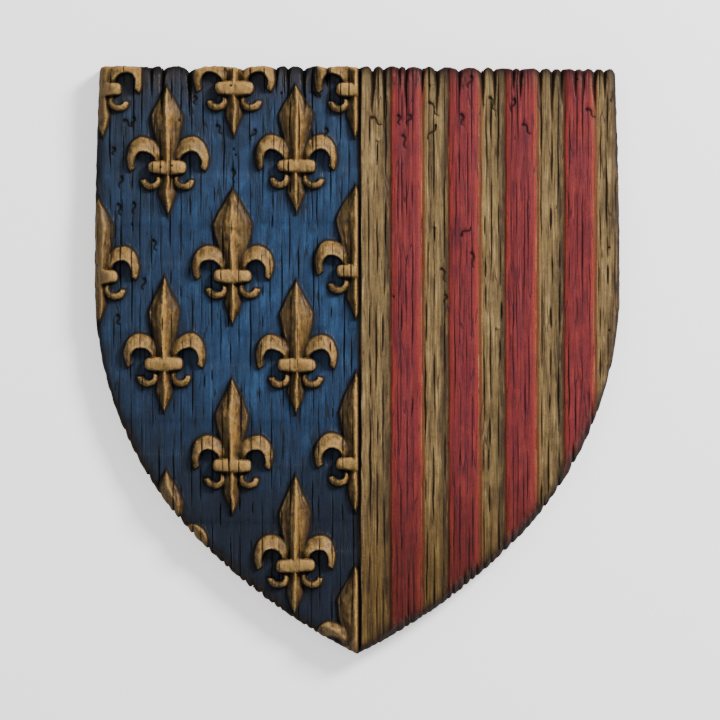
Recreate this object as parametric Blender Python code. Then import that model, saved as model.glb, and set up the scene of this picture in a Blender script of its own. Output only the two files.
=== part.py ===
"""Heater shield, cast in one piece in imitation of old carved and painted wood.

One half is a field sown with lilies, the other is gold with four raised red pales. The shield lies on its
flat back: +Z points out of the carved face, +Y towards the straight top edge and +X towards the pales. The
origin is the centre of the outline's box, on the back. Every size is in metres.
"""

import math
import random
from typing import NamedTuple

import bmesh
import bpy
from mathutils import Vector

# Outline, seen from the front
SHIELD_HEIGHT = 0.457
SHIELD_WIDTH = 0.408
TOP_WIDTH = 0.400
WIDEST_BELOW_TOP = 0.1727
HAUNCH_RADIUS = 0.2777
HAUNCH_ANGLE = math.radians(44)
TOP_FALL = 0.0025  # the top edge drops this much on its way to the pales' corner
CORNER_DROP = 0.0045  # the top corners are rounded off by this much
NICK_DEPTH = 0.0014  # the ends of the grain, nibbled out of the lower edges
LEAST_NICK_SHARE = 0.3  # the shallowest nick against the deepest
NICK_PITCH = 0.0085
SIDE_STEP = 0.034

# Levels above the back
RIM_HEIGHT = 0.013  # the upright part of the edge, before it rolls over
FIELD_THICKNESS = 0.018
GOLD_RISE = 0.0034
RED_RISE = 0.0018
HIGHEST = 0.030  # no carving reaches this
ROLL_WIDTH = 0.018  # how far in from the edge the rolled rim meets that level
TOP_ROLL_SHARE = 0.25  # the roll is this much narrower along the top edge
ROLL_LEVELS = 4
HEART_BELOW_WIDEST = 0.030  # the rim's levels shrink towards the heart

# The groove between the halves, and the pales
PARTY_X = 0.0017
PARTY_GROOVE_WIDTH = 0.0030
PARTY_GROOVE_DEPTH = 0.0012
RED_PALES = 4
OUTER_PALE_SHARE = 0.9  # the gold pale at the edge is this much narrower
PALE_FLANK = 0.0011  # a red pale's sloping side
PALE_SHOULDER = 0.0022  # and the round edge beside it
PALE_SHOULDER_DROP = 0.0006

# Cracks along the grain
CRACK_WIDTH = 0.0020
CRACK_DEPTH = 0.0018
CRACK_LENGTHS = (0.022, 0.075)
CRACK_ROOM = 0.0045  # cracks keep this far apart
FIELD_CRACKS = 24
GOLD_CRACKS = 25
RED_CRACKS = 20
GRAIN_SEED = 7

# Lily, measured from the middle of its band
UPPER_HALF_WIDTH = 0.0135
UPPER_SHOULDER = 0.0398
WAIST_HALF_WIDTH = 0.0036
LOWER_REACH = 0.0382
LOWER_HALF_WIDTH = 0.0066
LOWER_SHOULDER = 0.0208
LOWER_NECK_HALF_WIDTH = 0.0030
CREST_HALF_WIDTH = 0.0008
PETAL_EDGE_RISE = 0.0024
RIDGE_RISE = 0.0092
LOWER_RISE = 0.0068
BAND_HALF_LENGTH = 0.0142
BAND_RADIUS = 0.0051
BAND_RISE = 0.0098
BAND_SIDES = 8
BAND_RINGS = ((-1.0, 0.65), (-0.85, 1.0), (0.85, 1.0), (1.0, 0.65))  # shares of its half length and radius
CURL_CENTRE = (0.0170, 0.0008)
CURL_RADII = (0.0120, 0.0124)
CURL_ANGLES = (math.radians(160), math.radians(-4))
CURL_WAVE_SHARES = (0.10, 0.98)
CURL_FULLNESS = 0.5  # 1 gives a strip a slim root and tip, 0 none
CURL_WIDTH = 0.0124
CURL_RISE = 0.0090
HOOK_CENTRE = (0.0146, -0.0062)
HOOK_RADII = (0.0080, 0.0070)
HOOK_ANGLES = (math.radians(180), math.radians(336))
HOOK_WAVE_SHARES = (0.18, 0.84)
HOOK_FULLNESS = 1.0
HOOK_WIDTH = 0.0052
HOOK_RISE = 0.0066
POINT_SHARPNESS = 1.15  # 1 gives a petal a round point, 2 a hollow one
BLUNTEST_SHARE = 0.03  # a petal ends this wide against its widest
CREST_SHARE = 0.3  # a crest is never wider than this share of the petal's half width
TIP_RIDGE_SHARE = 0.25  # how high a petal's ridge starts at its tip
TIP_EDGE_SHARE = 0.3  # and how high its edges do
TIP_LEAD_SHARE = 0.12  # both have risen by this share of the petal's length at its tip
RISE_FULLNESS = 0.8  # below 1 they rise fast behind the tip
LIP_SPREAD_SHARE = 0.5  # a curl stays high over this share of its width
LIP_DROP_SHARE = 0.14  # and loses this share of its height there
OUTER_RISE_SHARE = 0.28  # what is left of it at the outer edge
END_HEIGHT_SHARE = 0.72  # how high its root and its tip are against its middle
PETAL_STATIONS = 8
LOWER_STATIONS = 6
CURL_STATIONS = 8
HOOK_STATIONS = 6

MARGIN = 0.012  # how far a cutter or a blank stands past what it cuts
CLEAR = 0.0003  # keeps two faces from lying in one plane


class Leaf(NamedTuple):
    """A ridged petal along Y, measured from the middle of its lily's band."""

    tip_y: float
    shoulder_y: float
    neck_y: float
    left: float  # its half widths at the shoulder
    right: float
    neck_half_width: float
    rise: float
    stations: int


class Strip(NamedTuple):
    """A petal that bends over into a hook, measured from the middle of its lily's band."""

    centre: tuple[float, float]  # of the ellipse that its inner lip follows
    radii: tuple[float, float]
    angles: tuple[float, float]  # of its root and its tip, around that centre
    wave: tuple[float, float]  # the stretch of a half wave that its width runs through
    fullness: float
    width: float
    rise: float
    stations: int


class Lily(NamedTuple):
    """One lily, as the carver varied it."""

    across: float  # where its band lies: the share of the way from the middle to the widest +X side
    down: float  # and the share of the way from the top to the tip
    reach: float = 0.0675  # from the band to the top of the upper petal
    breadth: float = 1.0  # the upper petal's width against the usual one
    lean: float = 0.0  # the share by which its ridge is off its middle, towards -X


# Columns of lilies from the outer edge to the groove
LILIES = (
    Lily(-0.968, 0.041),
    Lily(-0.983, 0.359, reach=0.0612, breadth=0.92, lean=0.05),
    Lily(-0.720, 0.174, reach=0.0636, breadth=0.94, lean=0.08),
    Lily(-0.732, 0.507, reach=0.0687, breadth=0.90, lean=0.13),
    Lily(-0.723, 0.830, reach=0.0665),
    Lily(-0.468, 0.040),
    Lily(-0.473, 0.358, reach=0.0689, breadth=1.16, lean=0.09),
    Lily(-0.475, 0.679, reach=0.0689, breadth=0.95, lean=0.09),
    Lily(-0.232, 0.171, reach=0.0636, lean=-0.04),
    Lily(-0.231, 0.509, reach=0.0671, lean=-0.04),
    Lily(-0.236, 0.848, reach=0.0713, breadth=0.94),
    Lily(-0.007, 0.042),
    Lily(-0.008, 0.349, reach=0.0674, breadth=1.12),
    Lily(-0.007, 0.676, reach=0.0720, breadth=0.95),
    Lily(-0.008, 0.995, reach=0.0674, breadth=1.10),
)


class Flute(NamedTuple):
    """A furrow that opens in the top edge and dies out down the face."""

    across: float  # the share of the way from the middle to the top edge's +X corner
    notch: float  # how far it bites into the top edge
    length: float


FLUTES = (
    Flute(-0.795, 0.0012, 0.025),
    Flute(-0.753, 0.0038, 0.040),
    Flute(-0.652, 0.0042, 0.036),
    Flute(-0.443, 0.0028, 0.007),
    Flute(-0.315, 0.0020, 0.020),
    Flute(-0.268, 0.0026, 0.028),
    Flute(-0.206, 0.0036, 0.036),
    Flute(-0.117, 0.0014, 0.016),
    Flute(0.008, 0.0020, 0.014),
    Flute(0.059, 0.0046, 0.034),
    Flute(0.103, 0.0030, 0.046),
    Flute(0.163, 0.0016, 0.018),
    Flute(0.189, 0.0022, 0.040),
    Flute(0.251, 0.0022, 0.022),
    Flute(0.306, 0.0042, 0.036),
    Flute(0.394, 0.0030, 0.024),
    Flute(0.483, 0.0042, 0.032),
    Flute(0.529, 0.0028, 0.030),
    Flute(0.603, 0.0016, 0.020),
    Flute(0.630, 0.0020, 0.027),
    Flute(0.708, 0.0030, 0.028),
    Flute(0.754, 0.0034, 0.042),
    Flute(0.789, 0.0020, 0.030),
    Flute(0.844, 0.0020, 0.024),
    Flute(0.874, 0.0014, 0.027),
    Flute(0.917, 0.0036, 0.032),
    Flute(0.956, 0.0026, 0.024),
)
FLUTE_WIDTH = 0.0056  # the widest flute's, at the top edge
FLUTE_DEPTH = 0.0042
LEAST_FLUTE_SHARE = 0.5  # the smallest flute against the widest
LOBE_POINT_PITCH = 0.0070  # the top edge has a point about this often between two flutes
LOBE_POINTS = 3  # and no more than these
LOBE_FULLNESS = 0.4  # 1 makes a lobe a half wave, less makes it squarer

# Levels, edges and centres that follow from the sizes above
TOP_Y = SHIELD_HEIGHT / 2
TIP_Y = -SHIELD_HEIGHT / 2
WIDEST_Y = TOP_Y - WIDEST_BELOW_TOP
HEART = Vector((0.0, WIDEST_Y - HEART_BELOW_WIDEST))
GOLD_LEVEL = FIELD_THICKNESS + GOLD_RISE
RED_LEVEL = GOLD_LEVEL + RED_RISE
FIELD_EDGE_X = PARTY_X - PARTY_GROOVE_WIDTH / 2
GOLD_EDGE_X = PARTY_X + PARTY_GROOVE_WIDTH / 2
PALE_WIDTH = (SHIELD_WIDTH / 2 - GOLD_EDGE_X) / (2 * RED_PALES + OUTER_PALE_SHARE)
ROOT_LEVEL = FIELD_THICKNESS - FLUTE_DEPTH - CLEAR  # the petals start below the deepest flute
NECK_Y = BAND_RADIUS * 0.3  # the petals end under the band


def clear_scene():
    """Removes the objects of the file that the script is run in."""
    for obj in list(bpy.data.objects):
        bpy.data.objects.remove(obj)


def paint(name, colour, roughness):
    """A coat of paint on the cast."""
    material = bpy.data.materials.new(name)
    material.use_nodes = True
    shader = material.node_tree.nodes["Principled BSDF"]
    shader.inputs["Base Color"].default_value = (*colour, 1.0)
    shader.inputs["Roughness"].default_value = roughness
    shader.inputs["Metallic"].default_value = 0.0
    return material


def add_object(name, bm, materials, helper=False):
    """Turns a bmesh into a named object. A helper only cuts or joins another and isn't part of the model."""
    bmesh.ops.recalc_face_normals(bm, faces=bm.faces)
    mesh = bpy.data.meshes.new(name)
    bm.to_mesh(mesh)
    bm.free()
    for material in materials:
        mesh.materials.append(material)
    obj = bpy.data.objects.new(name, mesh)
    bpy.context.scene.collection.objects.link(obj)
    if helper:
        obj.hide_render = True
        obj.display_type = "WIRE"
    return obj


def combine(obj, helper, operation, overlapping=False):
    """Adds a Boolean; overlapping says that the helper is made of solids that run into each other."""
    modifier = obj.modifiers.new(f"{operation.lower()} {helper.name}", "BOOLEAN")
    modifier.operation = operation
    modifier.object = helper
    modifier.solver = "EXACT"
    modifier.use_self = overlapping
    modifier.material_mode = "TRANSFER"


def loft(bm, rings):
    """Adds a closed solid through rings of as many points each, with a flat face at both ends."""
    made = [[bm.verts.new(point) for point in ring] for ring in rings]
    for ring, after in zip(made, made[1:]):
        for i in range(len(ring)):
            j = (i + 1) % len(ring)
            bm.faces.new((ring[i], ring[j], after[j], after[i]))
    bm.faces.new(list(reversed(made[0])))
    bm.faces.new(made[-1])


def spaced(count):
    """Shares from 0 to 1, both included."""
    return [i / (count - 1) for i in range(count)]


def flute_x(flute):
    """Where a flute runs."""
    return flute.across * TOP_WIDTH / 2


def top_edge_y(x):
    """Height of the top edge's lobes: level over the lilies, then falling towards the pales' corner."""
    return TOP_Y - TOP_FALL * max(0.0, x) / (TOP_WIDTH / 2)


def lower_radius(haunch_centre):
    """Radius of the long arc that carries the haunch on to the tip without a kink."""
    to_tip = Vector((0.0, TIP_Y)) - haunch_centre
    outward = Vector((math.cos(HAUNCH_ANGLE), -math.sin(HAUNCH_ANGLE)))
    shift = (to_tip.length_squared - HAUNCH_RADIUS**2) / (2 * (to_tip.dot(outward) - HAUNCH_RADIUS))
    return HAUNCH_RADIUS - shift


def arc(centre, radius, start, end, pitch):
    """Points with outward normals along an arc, its start included and its end left out."""
    steps = max(2, round(abs(end - start) * radius / pitch))
    for i in range(steps):
        angle = start + (end - start) * i / steps
        normal = Vector((math.cos(angle), math.sin(angle)))
        yield centre + radius * normal, normal


def side_curve():
    """Points with normals down the +X side: the flared upper side, the haunch and the long arc to the tip."""
    flare = (SHIELD_WIDTH - TOP_WIDTH) / 2
    steps = max(2, round(WIDEST_BELOW_TOP / SIDE_STEP))
    for i in range(steps):
        share = 1 - i / steps
        point = Vector((SHIELD_WIDTH / 2 - flare * share**2, WIDEST_Y + WIDEST_BELOW_TOP * share))
        if i == 0:
            point.y -= TOP_FALL + CORNER_DROP
        yield point, Vector((1.0, 0.0))
    haunch_centre = Vector((SHIELD_WIDTH / 2 - HAUNCH_RADIUS, WIDEST_Y))
    yield from arc(haunch_centre, HAUNCH_RADIUS, 0.0, -HAUNCH_ANGLE, NICK_PITCH)
    radius = lower_radius(haunch_centre)
    outward = Vector((math.cos(HAUNCH_ANGLE), -math.sin(HAUNCH_ANGLE)))
    centre = haunch_centre + (HAUNCH_RADIUS - radius) * outward
    tip_angle = math.atan2(TIP_Y - centre.y, -centre.x)
    yield from arc(centre, radius, -HAUNCH_ANGLE, tip_angle, NICK_PITCH)


def nicked_side(dice):
    """The side's points, every other one drawn in where the edge cuts across the grain."""
    points = []
    for i, (point, normal) in enumerate(side_curve()):
        depth = NICK_DEPTH * abs(normal.y) * dice.uniform(LEAST_NICK_SHARE, 1.0) if i % 2 else 0.0
        points.append(point - normal * depth)
    return points


def top_lobes():
    """The top edge's points between its corners, from -X to +X: round lobes between the flutes' notches."""
    corner = TOP_WIDTH / 2
    valleys = [(flute_x(flute), top_edge_y(flute_x(flute)) - flute.notch) for flute in FLUTES]
    ends = [(-corner, TOP_Y - CORNER_DROP), *valleys, (corner, TOP_Y - TOP_FALL - CORNER_DROP)]
    points = []
    for (x0, y0), (x1, y1) in zip(ends, ends[1:]):
        count = max(1, min(LOBE_POINTS, round((x1 - x0) / LOBE_POINT_PITCH)))
        for i in range(1, count + 1):
            share = i / (count + 1)
            x = x0 + (x1 - x0) * share
            low = y0 + (y1 - y0) * share
            swell = math.sin(math.pi * share) ** LOBE_FULLNESS
            points.append(Vector((x, low + (top_edge_y(x) - low) * swell)))
        points.append(Vector((x1, y1)))
    return points[:-1]


def outline():
    """The whole outline, clockwise from the first lobe behind the top edge's -X corner."""
    dice = random.Random(GRAIN_SEED)
    right = nicked_side(dice)
    left = [Vector((-point.x, point.y)) for point in nicked_side(dice)]
    left[0].y += TOP_FALL
    tip = Vector((0.0, TIP_Y))
    return top_lobes() + right + [tip] + list(reversed(left))


def drawn_in(point, inset):
    """The point of the outline drawn in towards the heart: by the inset at the sides, and less at the top."""
    scale = 1 - inset / (SHIELD_WIDTH / 2)
    offset = point - HEART
    scale_y = 1 - TOP_ROLL_SHARE * inset / (TOP_Y - HEART.y) if offset.y > 0 else scale
    return HEART + Vector((offset.x * scale, offset.y * scale_y))


def rolled_blank(wash):
    """The outline's prism with its front rim rolled over. Whatever is carved is kept inside it."""
    points = outline()
    levels = [(0.0, 0.0)]
    for share in spaced(ROLL_LEVELS):
        levels.append((ROLL_WIDTH * share**2, RIM_HEIGHT + (HIGHEST - RIM_HEIGHT) * share))
    bm = bmesh.new()
    rings = []
    for inset, z in levels:
        ring = [drawn_in(point, inset) for point in points]
        rings.append([(point.x, point.y, z) for point in ring])
    loft(bm, rings)
    return add_object("rolled_blank", bm, [wash], helper=True)


def pale_edges():
    """The two edges of each red pale."""
    for i in range(RED_PALES):
        left = GOLD_EDGE_X + (2 * i + 1) * PALE_WIDTH
        yield left, left + PALE_WIDTH


def board_profile():
    """The board's upper side from -X to +X: (x, height above the back, what its next stretch is painted)."""
    reach = SHIELD_WIDTH / 2 + MARGIN
    quarter = PARTY_GROOVE_WIDTH / 4
    groove_level = FIELD_THICKNESS - PARTY_GROOVE_DEPTH
    profile = [
        (-reach, FIELD_THICKNESS, "field"),
        (FIELD_EDGE_X, FIELD_THICKNESS, "field"),
        (PARTY_X - quarter, groove_level, "field"),
        (PARTY_X + quarter, groove_level, "gold"),
        (GOLD_EDGE_X, GOLD_LEVEL, "gold"),
    ]
    shoulder_level = RED_LEVEL - PALE_SHOULDER_DROP
    for left, right in pale_edges():
        inner = PALE_FLANK / 2
        profile.append((left - inner, GOLD_LEVEL, "red"))
        profile.append((left + inner, shoulder_level, "red"))
        profile.append((left + inner + PALE_SHOULDER, RED_LEVEL, "red"))
        profile.append((right - inner - PALE_SHOULDER, RED_LEVEL, "red"))
        profile.append((right - inner, shoulder_level, "red"))
        profile.append((right + inner, GOLD_LEVEL, "gold"))
    profile.append((reach, GOLD_LEVEL, "gold"))
    return profile


def board(coats):
    """The board as a bar of that profile along Y, bigger all round than the outline."""
    profile = board_profile()
    bm = bmesh.new()
    ends = []
    for y in (TIP_Y - MARGIN, TOP_Y + MARGIN):
        upper = [bm.verts.new((x, y, z)) for x, z, _ in profile]
        lower = [bm.verts.new((x, y, -MARGIN)) for x in (profile[-1][0], profile[0][0])]
        ends.append(upper + lower)
    near, far = ends
    for i, (_, _, coat) in enumerate(profile[:-1]):
        face = bm.faces.new((near[i], near[i + 1], far[i + 1], far[i]))
        face.material_index = list(coats).index(coat)
    for i in range(len(profile) - 1, len(near)):
        j = (i + 1) % len(near)
        bm.faces.new((near[i], near[j], far[j], far[i]))
    bm.faces.new(near)
    bm.faces.new(far)
    return add_object("shield", bm, coats.values())


def surface_level(x):
    """Height of the board's uncut face at x."""
    for left, right in pale_edges():
        if left < x < right:
            return RED_LEVEL
    return FIELD_THICKNESS if x < PARTY_X else GOLD_LEVEL


def gold_strips():
    """The stretches of plain gold between and beside the red pales."""
    edges = list(pale_edges())
    starts = [GOLD_EDGE_X] + [right for _, right in edges]
    ends = [left for left, _ in edges] + [SHIELD_WIDTH / 2]
    return list(zip(starts, ends))


def crack_places(dice):
    """(x, middle y, length) of each crack in the field, the gold and the reds, none close beside another."""
    inset = CRACK_ROOM
    golds = gold_strips()
    reds = list(pale_edges())
    strips = [(-SHIELD_WIDTH / 2, FIELD_EDGE_X)] * FIELD_CRACKS
    strips += [golds[i % len(golds)] for i in range(GOLD_CRACKS)]
    strips += [reds[i % len(reds)] for i in range(RED_CRACKS)]
    placed = []
    for low, high in strips:
        for _ in range(40):
            x = dice.uniform(low + inset, high - inset)
            length = dice.uniform(*CRACK_LENGTHS)
            y = dice.uniform(TIP_Y, TOP_Y)
            clear = all(
                abs(x - other_x) > CRACK_ROOM or abs(y - other_y) > (length + other_length) / 2 + CRACK_ROOM
                for other_x, other_y, other_length in placed
            )
            if clear:
                placed.append((x, y, length))
                break
    return placed


def cracks(wash):
    """Boat-shaped cutters: long, narrow and deepest in the middle."""
    bm = bmesh.new()
    for x, y, length in crack_places(random.Random(GRAIN_SEED)):
        level = surface_level(x)
        deck = level + CRACK_DEPTH
        # The boat is twice as deep as the crack, so that its waterline has half its width and length.
        keel = level - CRACK_DEPTH
        bow = bm.verts.new((x, y + length, deck))
        stern = bm.verts.new((x, y - length, deck))
        port = bm.verts.new((x - CRACK_WIDTH, y, deck))
        starboard = bm.verts.new((x + CRACK_WIDTH, y, deck))
        low = bm.verts.new((x, y, keel))
        for one, two in ((bow, port), (port, stern), (stern, starboard), (starboard, bow)):
            bm.faces.new((one, two, low))
        bm.faces.new((bow, starboard, stern, port))
    return add_object("cracks", bm, [wash], helper=True)


def flutes(wash):
    """Pyramids that lie along the face: deepest at the top edge, and out of it further down."""
    deepest = max(flute.notch for flute in FLUTES)
    bm = bmesh.new()
    for flute in FLUTES:
        x = flute_x(flute)
        size = LEAST_FLUTE_SHARE + (1 - LEAST_FLUTE_SHARE) * flute.notch / deepest
        level = surface_level(x)
        # The pyramid is twice as deep as the flute, so its waterline has half its width and length.
        mouth = top_edge_y(x)
        end = mouth - 2 * flute.length
        growth = 1 + MARGIN / (2 * flute.length)
        depth = FLUTE_DEPTH * size
        half = FLUTE_WIDTH * size * growth
        deck = level + depth
        port = bm.verts.new((x - half, mouth + MARGIN, deck))
        starboard = bm.verts.new((x + half, mouth + MARGIN, deck))
        low = bm.verts.new((x, mouth + MARGIN, deck - 2 * depth * growth))
        apex = bm.verts.new((x, end, deck))
        bm.faces.new((port, starboard, low))
        for one, two in ((port, low), (low, starboard), (starboard, port)):
            bm.faces.new((one, two, apex))
    return add_object("flutes", bm, [wash], helper=True)


def leaf_width(share, shoulder, neck):
    """A petal's half width as a share of its widest, from the tip (0) over its shoulder to its neck (1)."""
    if share < shoulder:
        return math.sin(math.pi / 2 * share / shoulder) ** POINT_SHARPNESS
    turn = (share - shoulder) / (1 - shoulder)
    return neck + (1 - neck) * (0.5 + 0.5 * math.cos(math.pi * turn))


def petal(bm, base, leaf, root):
    """A leaf that stands on the board, from its tip to its neck under the band."""
    length = leaf.neck_y - leaf.tip_y
    shoulder = (leaf.shoulder_y - leaf.tip_y) / length
    neck = 2 * leaf.neck_half_width / (leaf.left + leaf.right)
    rings = []
    for share in spaced(leaf.stations):
        swell = max(leaf_width(share, shoulder, neck), BLUNTEST_SHARE)
        height = math.sin(math.pi / 2 * min(1.0, (share + TIP_LEAD_SHARE) / shoulder)) ** RISE_FULLNESS
        ridge = FIELD_THICKNESS + leaf.rise * (TIP_RIDGE_SHARE + (1 - TIP_RIDGE_SHARE) * height)
        edge = FIELD_THICKNESS + PETAL_EDGE_RISE * (TIP_EDGE_SHARE + (1 - TIP_EDGE_SHARE) * height)
        left = leaf.left * swell
        right = leaf.right * swell
        crest = min(CREST_HALF_WIDTH, CREST_SHARE * left, CREST_SHARE * right)
        section = (
            (-left, root),
            (-left, edge),
            (-crest, ridge),
            (crest, ridge),
            (right, edge),
            (right, root),
        )
        y = base.y + leaf.tip_y + length * share
        rings.append([(base.x + x, y, z) for x, z in section])
    loft(bm, rings)


def curl(bm, base, side, strip, root):
    """A strip on the +X side (side 1) or the -X one (-1), highest at its inner lip and lowest outside."""
    rings = []
    for share in spaced(strip.stations):
        angle = strip.angles[0] + (strip.angles[1] - strip.angles[0]) * share
        wave = strip.wave[0] + (strip.wave[1] - strip.wave[0]) * share
        spread = strip.width * math.sin(math.pi * wave) ** (1 / strip.fullness)
        top = strip.rise * (END_HEIGHT_SHARE + (1 - END_HEIGHT_SHARE) * math.sin(math.pi * share))
        section = (
            (0.0, root),
            (0.0, FIELD_THICKNESS + top),
            (LIP_SPREAD_SHARE * spread, FIELD_THICKNESS + (1 - LIP_DROP_SHARE) * top),
            (spread, FIELD_THICKNESS + OUTER_RISE_SHARE * top),
            (spread, root),
        )
        ring = []
        for out, z in section:
            x = strip.centre[0] + (strip.radii[0] + out) * math.cos(angle)
            y = strip.centre[1] + (strip.radii[1] + out) * math.sin(angle)
            ring.append((base.x + side * x, base.y + y, z))
        rings.append(ring)
    loft(bm, rings)


def band(bm, base):
    """The round bar that ties the petals together, with softened ends."""
    middle = FIELD_THICKNESS + BAND_RISE - BAND_RADIUS
    rings = []
    for along, swell in BAND_RINGS:
        ring = []
        for i in range(BAND_SIDES):
            angle = 2 * math.pi * (i + 0.5) / BAND_SIDES
            y = base.y + BAND_RADIUS * swell * math.cos(angle)
            z = middle + BAND_RADIUS * swell * math.sin(angle)
            ring.append((base.x + BAND_HALF_LENGTH * along, y, z))
        rings.append(ring)
    loft(bm, rings)


def lily(bm, place):
    """One lily: two petals up and down, a curl and a hook on each side, and the band over them."""
    base = Vector((place.across * SHIELD_WIDTH / 2, TOP_Y - place.down * SHIELD_HEIGHT))
    upper = Leaf(
        tip_y=place.reach,
        shoulder_y=UPPER_SHOULDER,
        neck_y=NECK_Y,
        left=UPPER_HALF_WIDTH * place.breadth * (1 - place.lean),
        right=UPPER_HALF_WIDTH * place.breadth * (1 + place.lean),
        neck_half_width=WAIST_HALF_WIDTH,
        rise=RIDGE_RISE,
        stations=PETAL_STATIONS,
    )
    lower = Leaf(
        tip_y=-LOWER_REACH,
        shoulder_y=-LOWER_SHOULDER,
        neck_y=-NECK_Y,
        left=LOWER_HALF_WIDTH,
        right=LOWER_HALF_WIDTH,
        neck_half_width=LOWER_NECK_HALF_WIDTH,
        rise=LOWER_RISE,
        stations=LOWER_STATIONS,
    )
    arch = Strip(
        centre=CURL_CENTRE,
        radii=CURL_RADII,
        angles=CURL_ANGLES,
        wave=CURL_WAVE_SHARES,
        fullness=CURL_FULLNESS,
        width=CURL_WIDTH,
        rise=CURL_RISE,
        stations=CURL_STATIONS,
    )
    hook = Strip(
        centre=HOOK_CENTRE,
        radii=HOOK_RADII,
        angles=HOOK_ANGLES,
        wave=HOOK_WAVE_SHARES,
        fullness=HOOK_FULLNESS,
        width=HOOK_WIDTH,
        rise=HOOK_RISE,
        stations=HOOK_STATIONS,
    )
    # Each petal starts a little lower than the one before, so that no two undersides share a plane.
    petal(bm, base, upper, ROOT_LEVEL)
    petal(bm, base, lower, ROOT_LEVEL - CLEAR)
    for i, side in enumerate((-1, 1)):
        curl(bm, base, side, arch, ROOT_LEVEL - (2 + i) * CLEAR)
        curl(bm, base, side, hook, ROOT_LEVEL - (4 + i) * CLEAR)
    band(bm, base)


def lilies(gilt):
    """All the lilies, cut off where they would run past the groove between the halves."""
    bm = bmesh.new()
    for place in LILIES:
        lily(bm, place)
    field = bmesh.new()
    edge = FIELD_EDGE_X - CLEAR
    corners = (
        (-SHIELD_WIDTH, -SHIELD_HEIGHT),
        (edge, -SHIELD_HEIGHT),
        (edge, SHIELD_HEIGHT),
        (-SHIELD_WIDTH, SHIELD_HEIGHT),
    )
    loft(field, [[(x, y, z) for x, y in corners] for z in (-MARGIN, HIGHEST + MARGIN)])
    field_half = add_object("field_half", field, [], helper=True)
    grown = add_object("lilies", bm, [gilt], helper=True)
    combine(grown, field_half, "INTERSECT", overlapping=True)
    return grown


def main():
    """Builds the shield: a board, its cracks and flutes, the lilies on it and its rolled outline."""
    clear_scene()
    coats = {
        "field": paint("blue paint", (0.040, 0.075, 0.135), 0.55),
        "gold": paint("ochre paint", (0.270, 0.175, 0.085), 0.6),
        "red": paint("red paint", (0.260, 0.045, 0.040), 0.55),
    }
    gilt = paint("gilt paint", (0.330, 0.210, 0.090), 0.45)
    wash = paint("dark wash", (0.035, 0.022, 0.013), 0.7)
    shield = board(coats)
    combine(shield, cracks(wash), "DIFFERENCE", overlapping=True)
    combine(shield, flutes(wash), "DIFFERENCE", overlapping=True)
    combine(shield, lilies(gilt), "UNION")
    combine(shield, rolled_blank(wash), "INTERSECT")


main()
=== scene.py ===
"""The dressed heater shield: one painted cast in imitation of old carved and wormy wood.

The face is worked as a relief, a height over every point of a fine grid. The ground with its pales, the
flutes, the lilies, the cracks, the worm tracks and the rolled rim are carved one after the other. The grid
becomes the front of one closed mesh with the shield's walls and its flat back. Masks that are kept with
the mesh tell the paint where the lilies, hollows, cracks and rim are. Every size is in metres, in the
CAD's frame.
"""

import logging
import math
import random
from dataclasses import dataclass, field
from enum import Enum

import bpy
import numpy as np
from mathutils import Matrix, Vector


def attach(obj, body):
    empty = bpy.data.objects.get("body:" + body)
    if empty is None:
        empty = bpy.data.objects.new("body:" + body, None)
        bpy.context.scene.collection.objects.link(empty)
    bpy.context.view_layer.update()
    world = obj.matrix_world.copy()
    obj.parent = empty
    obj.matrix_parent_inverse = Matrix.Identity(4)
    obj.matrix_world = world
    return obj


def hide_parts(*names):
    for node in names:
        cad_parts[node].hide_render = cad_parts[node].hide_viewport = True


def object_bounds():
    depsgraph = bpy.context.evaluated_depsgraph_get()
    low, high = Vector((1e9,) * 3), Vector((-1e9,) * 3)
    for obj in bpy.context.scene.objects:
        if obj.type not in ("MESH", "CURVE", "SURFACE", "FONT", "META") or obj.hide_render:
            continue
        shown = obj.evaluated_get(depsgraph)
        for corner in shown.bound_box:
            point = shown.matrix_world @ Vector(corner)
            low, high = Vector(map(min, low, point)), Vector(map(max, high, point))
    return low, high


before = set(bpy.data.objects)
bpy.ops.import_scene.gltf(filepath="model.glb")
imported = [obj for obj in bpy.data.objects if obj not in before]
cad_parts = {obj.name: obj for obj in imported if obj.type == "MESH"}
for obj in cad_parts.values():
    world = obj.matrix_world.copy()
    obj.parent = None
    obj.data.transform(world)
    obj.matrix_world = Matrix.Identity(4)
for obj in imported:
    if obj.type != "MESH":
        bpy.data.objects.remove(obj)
CAD_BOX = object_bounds()
LOG = logging.getLogger("heater_shield")

Array = np.ndarray
Colour = tuple[float, float, float]
Pair = tuple[float, float]
Window = tuple[slice, slice]
Socket = bpy.types.NodeSocket

MM = 0.001
EDGE: Pair = (-0.15, 0.15)  # over which one paint gives way to the next, in millimetres


class Zone(Enum):
    """The parts of the face that are carved and painted in their own way."""

    FIELD = "blue field"
    GOLD = "gold pales"
    RED = "red pales"


def smooth(value: Array, low: float, high: float) -> Array:
    """A soft step.

    Args:
        value: Where the step is read.
        low: The step is 0 up to here.
        high: And 1 from here on.

    Returns:
        The step's height, from 0 to 1.
    """
    share = np.clip((value - low) / (high - low), 0.0, 1.0)
    return share * share * (3.0 - 2.0 * share)


def soft_least(one: Array, other: Array, blend: float) -> Array:
    """The lower of two values, with a round corner.

    Args:
        one: The first values.
        other: The second values.
        blend: How near they have to be for the corner to be round.

    Returns:
        The rounded minimum.
    """
    share = np.clip(0.5 + 0.5 * (other - one) / blend, 0.0, 1.0)
    return other * (1.0 - share) + one * share - blend * share * (1.0 - share)


def soft_most(one: Array, other: Array, blend: float) -> Array:
    """The higher of two values, with a round corner, as soft_least gives the lower."""
    return -soft_least(-one, -other, blend)


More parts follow.
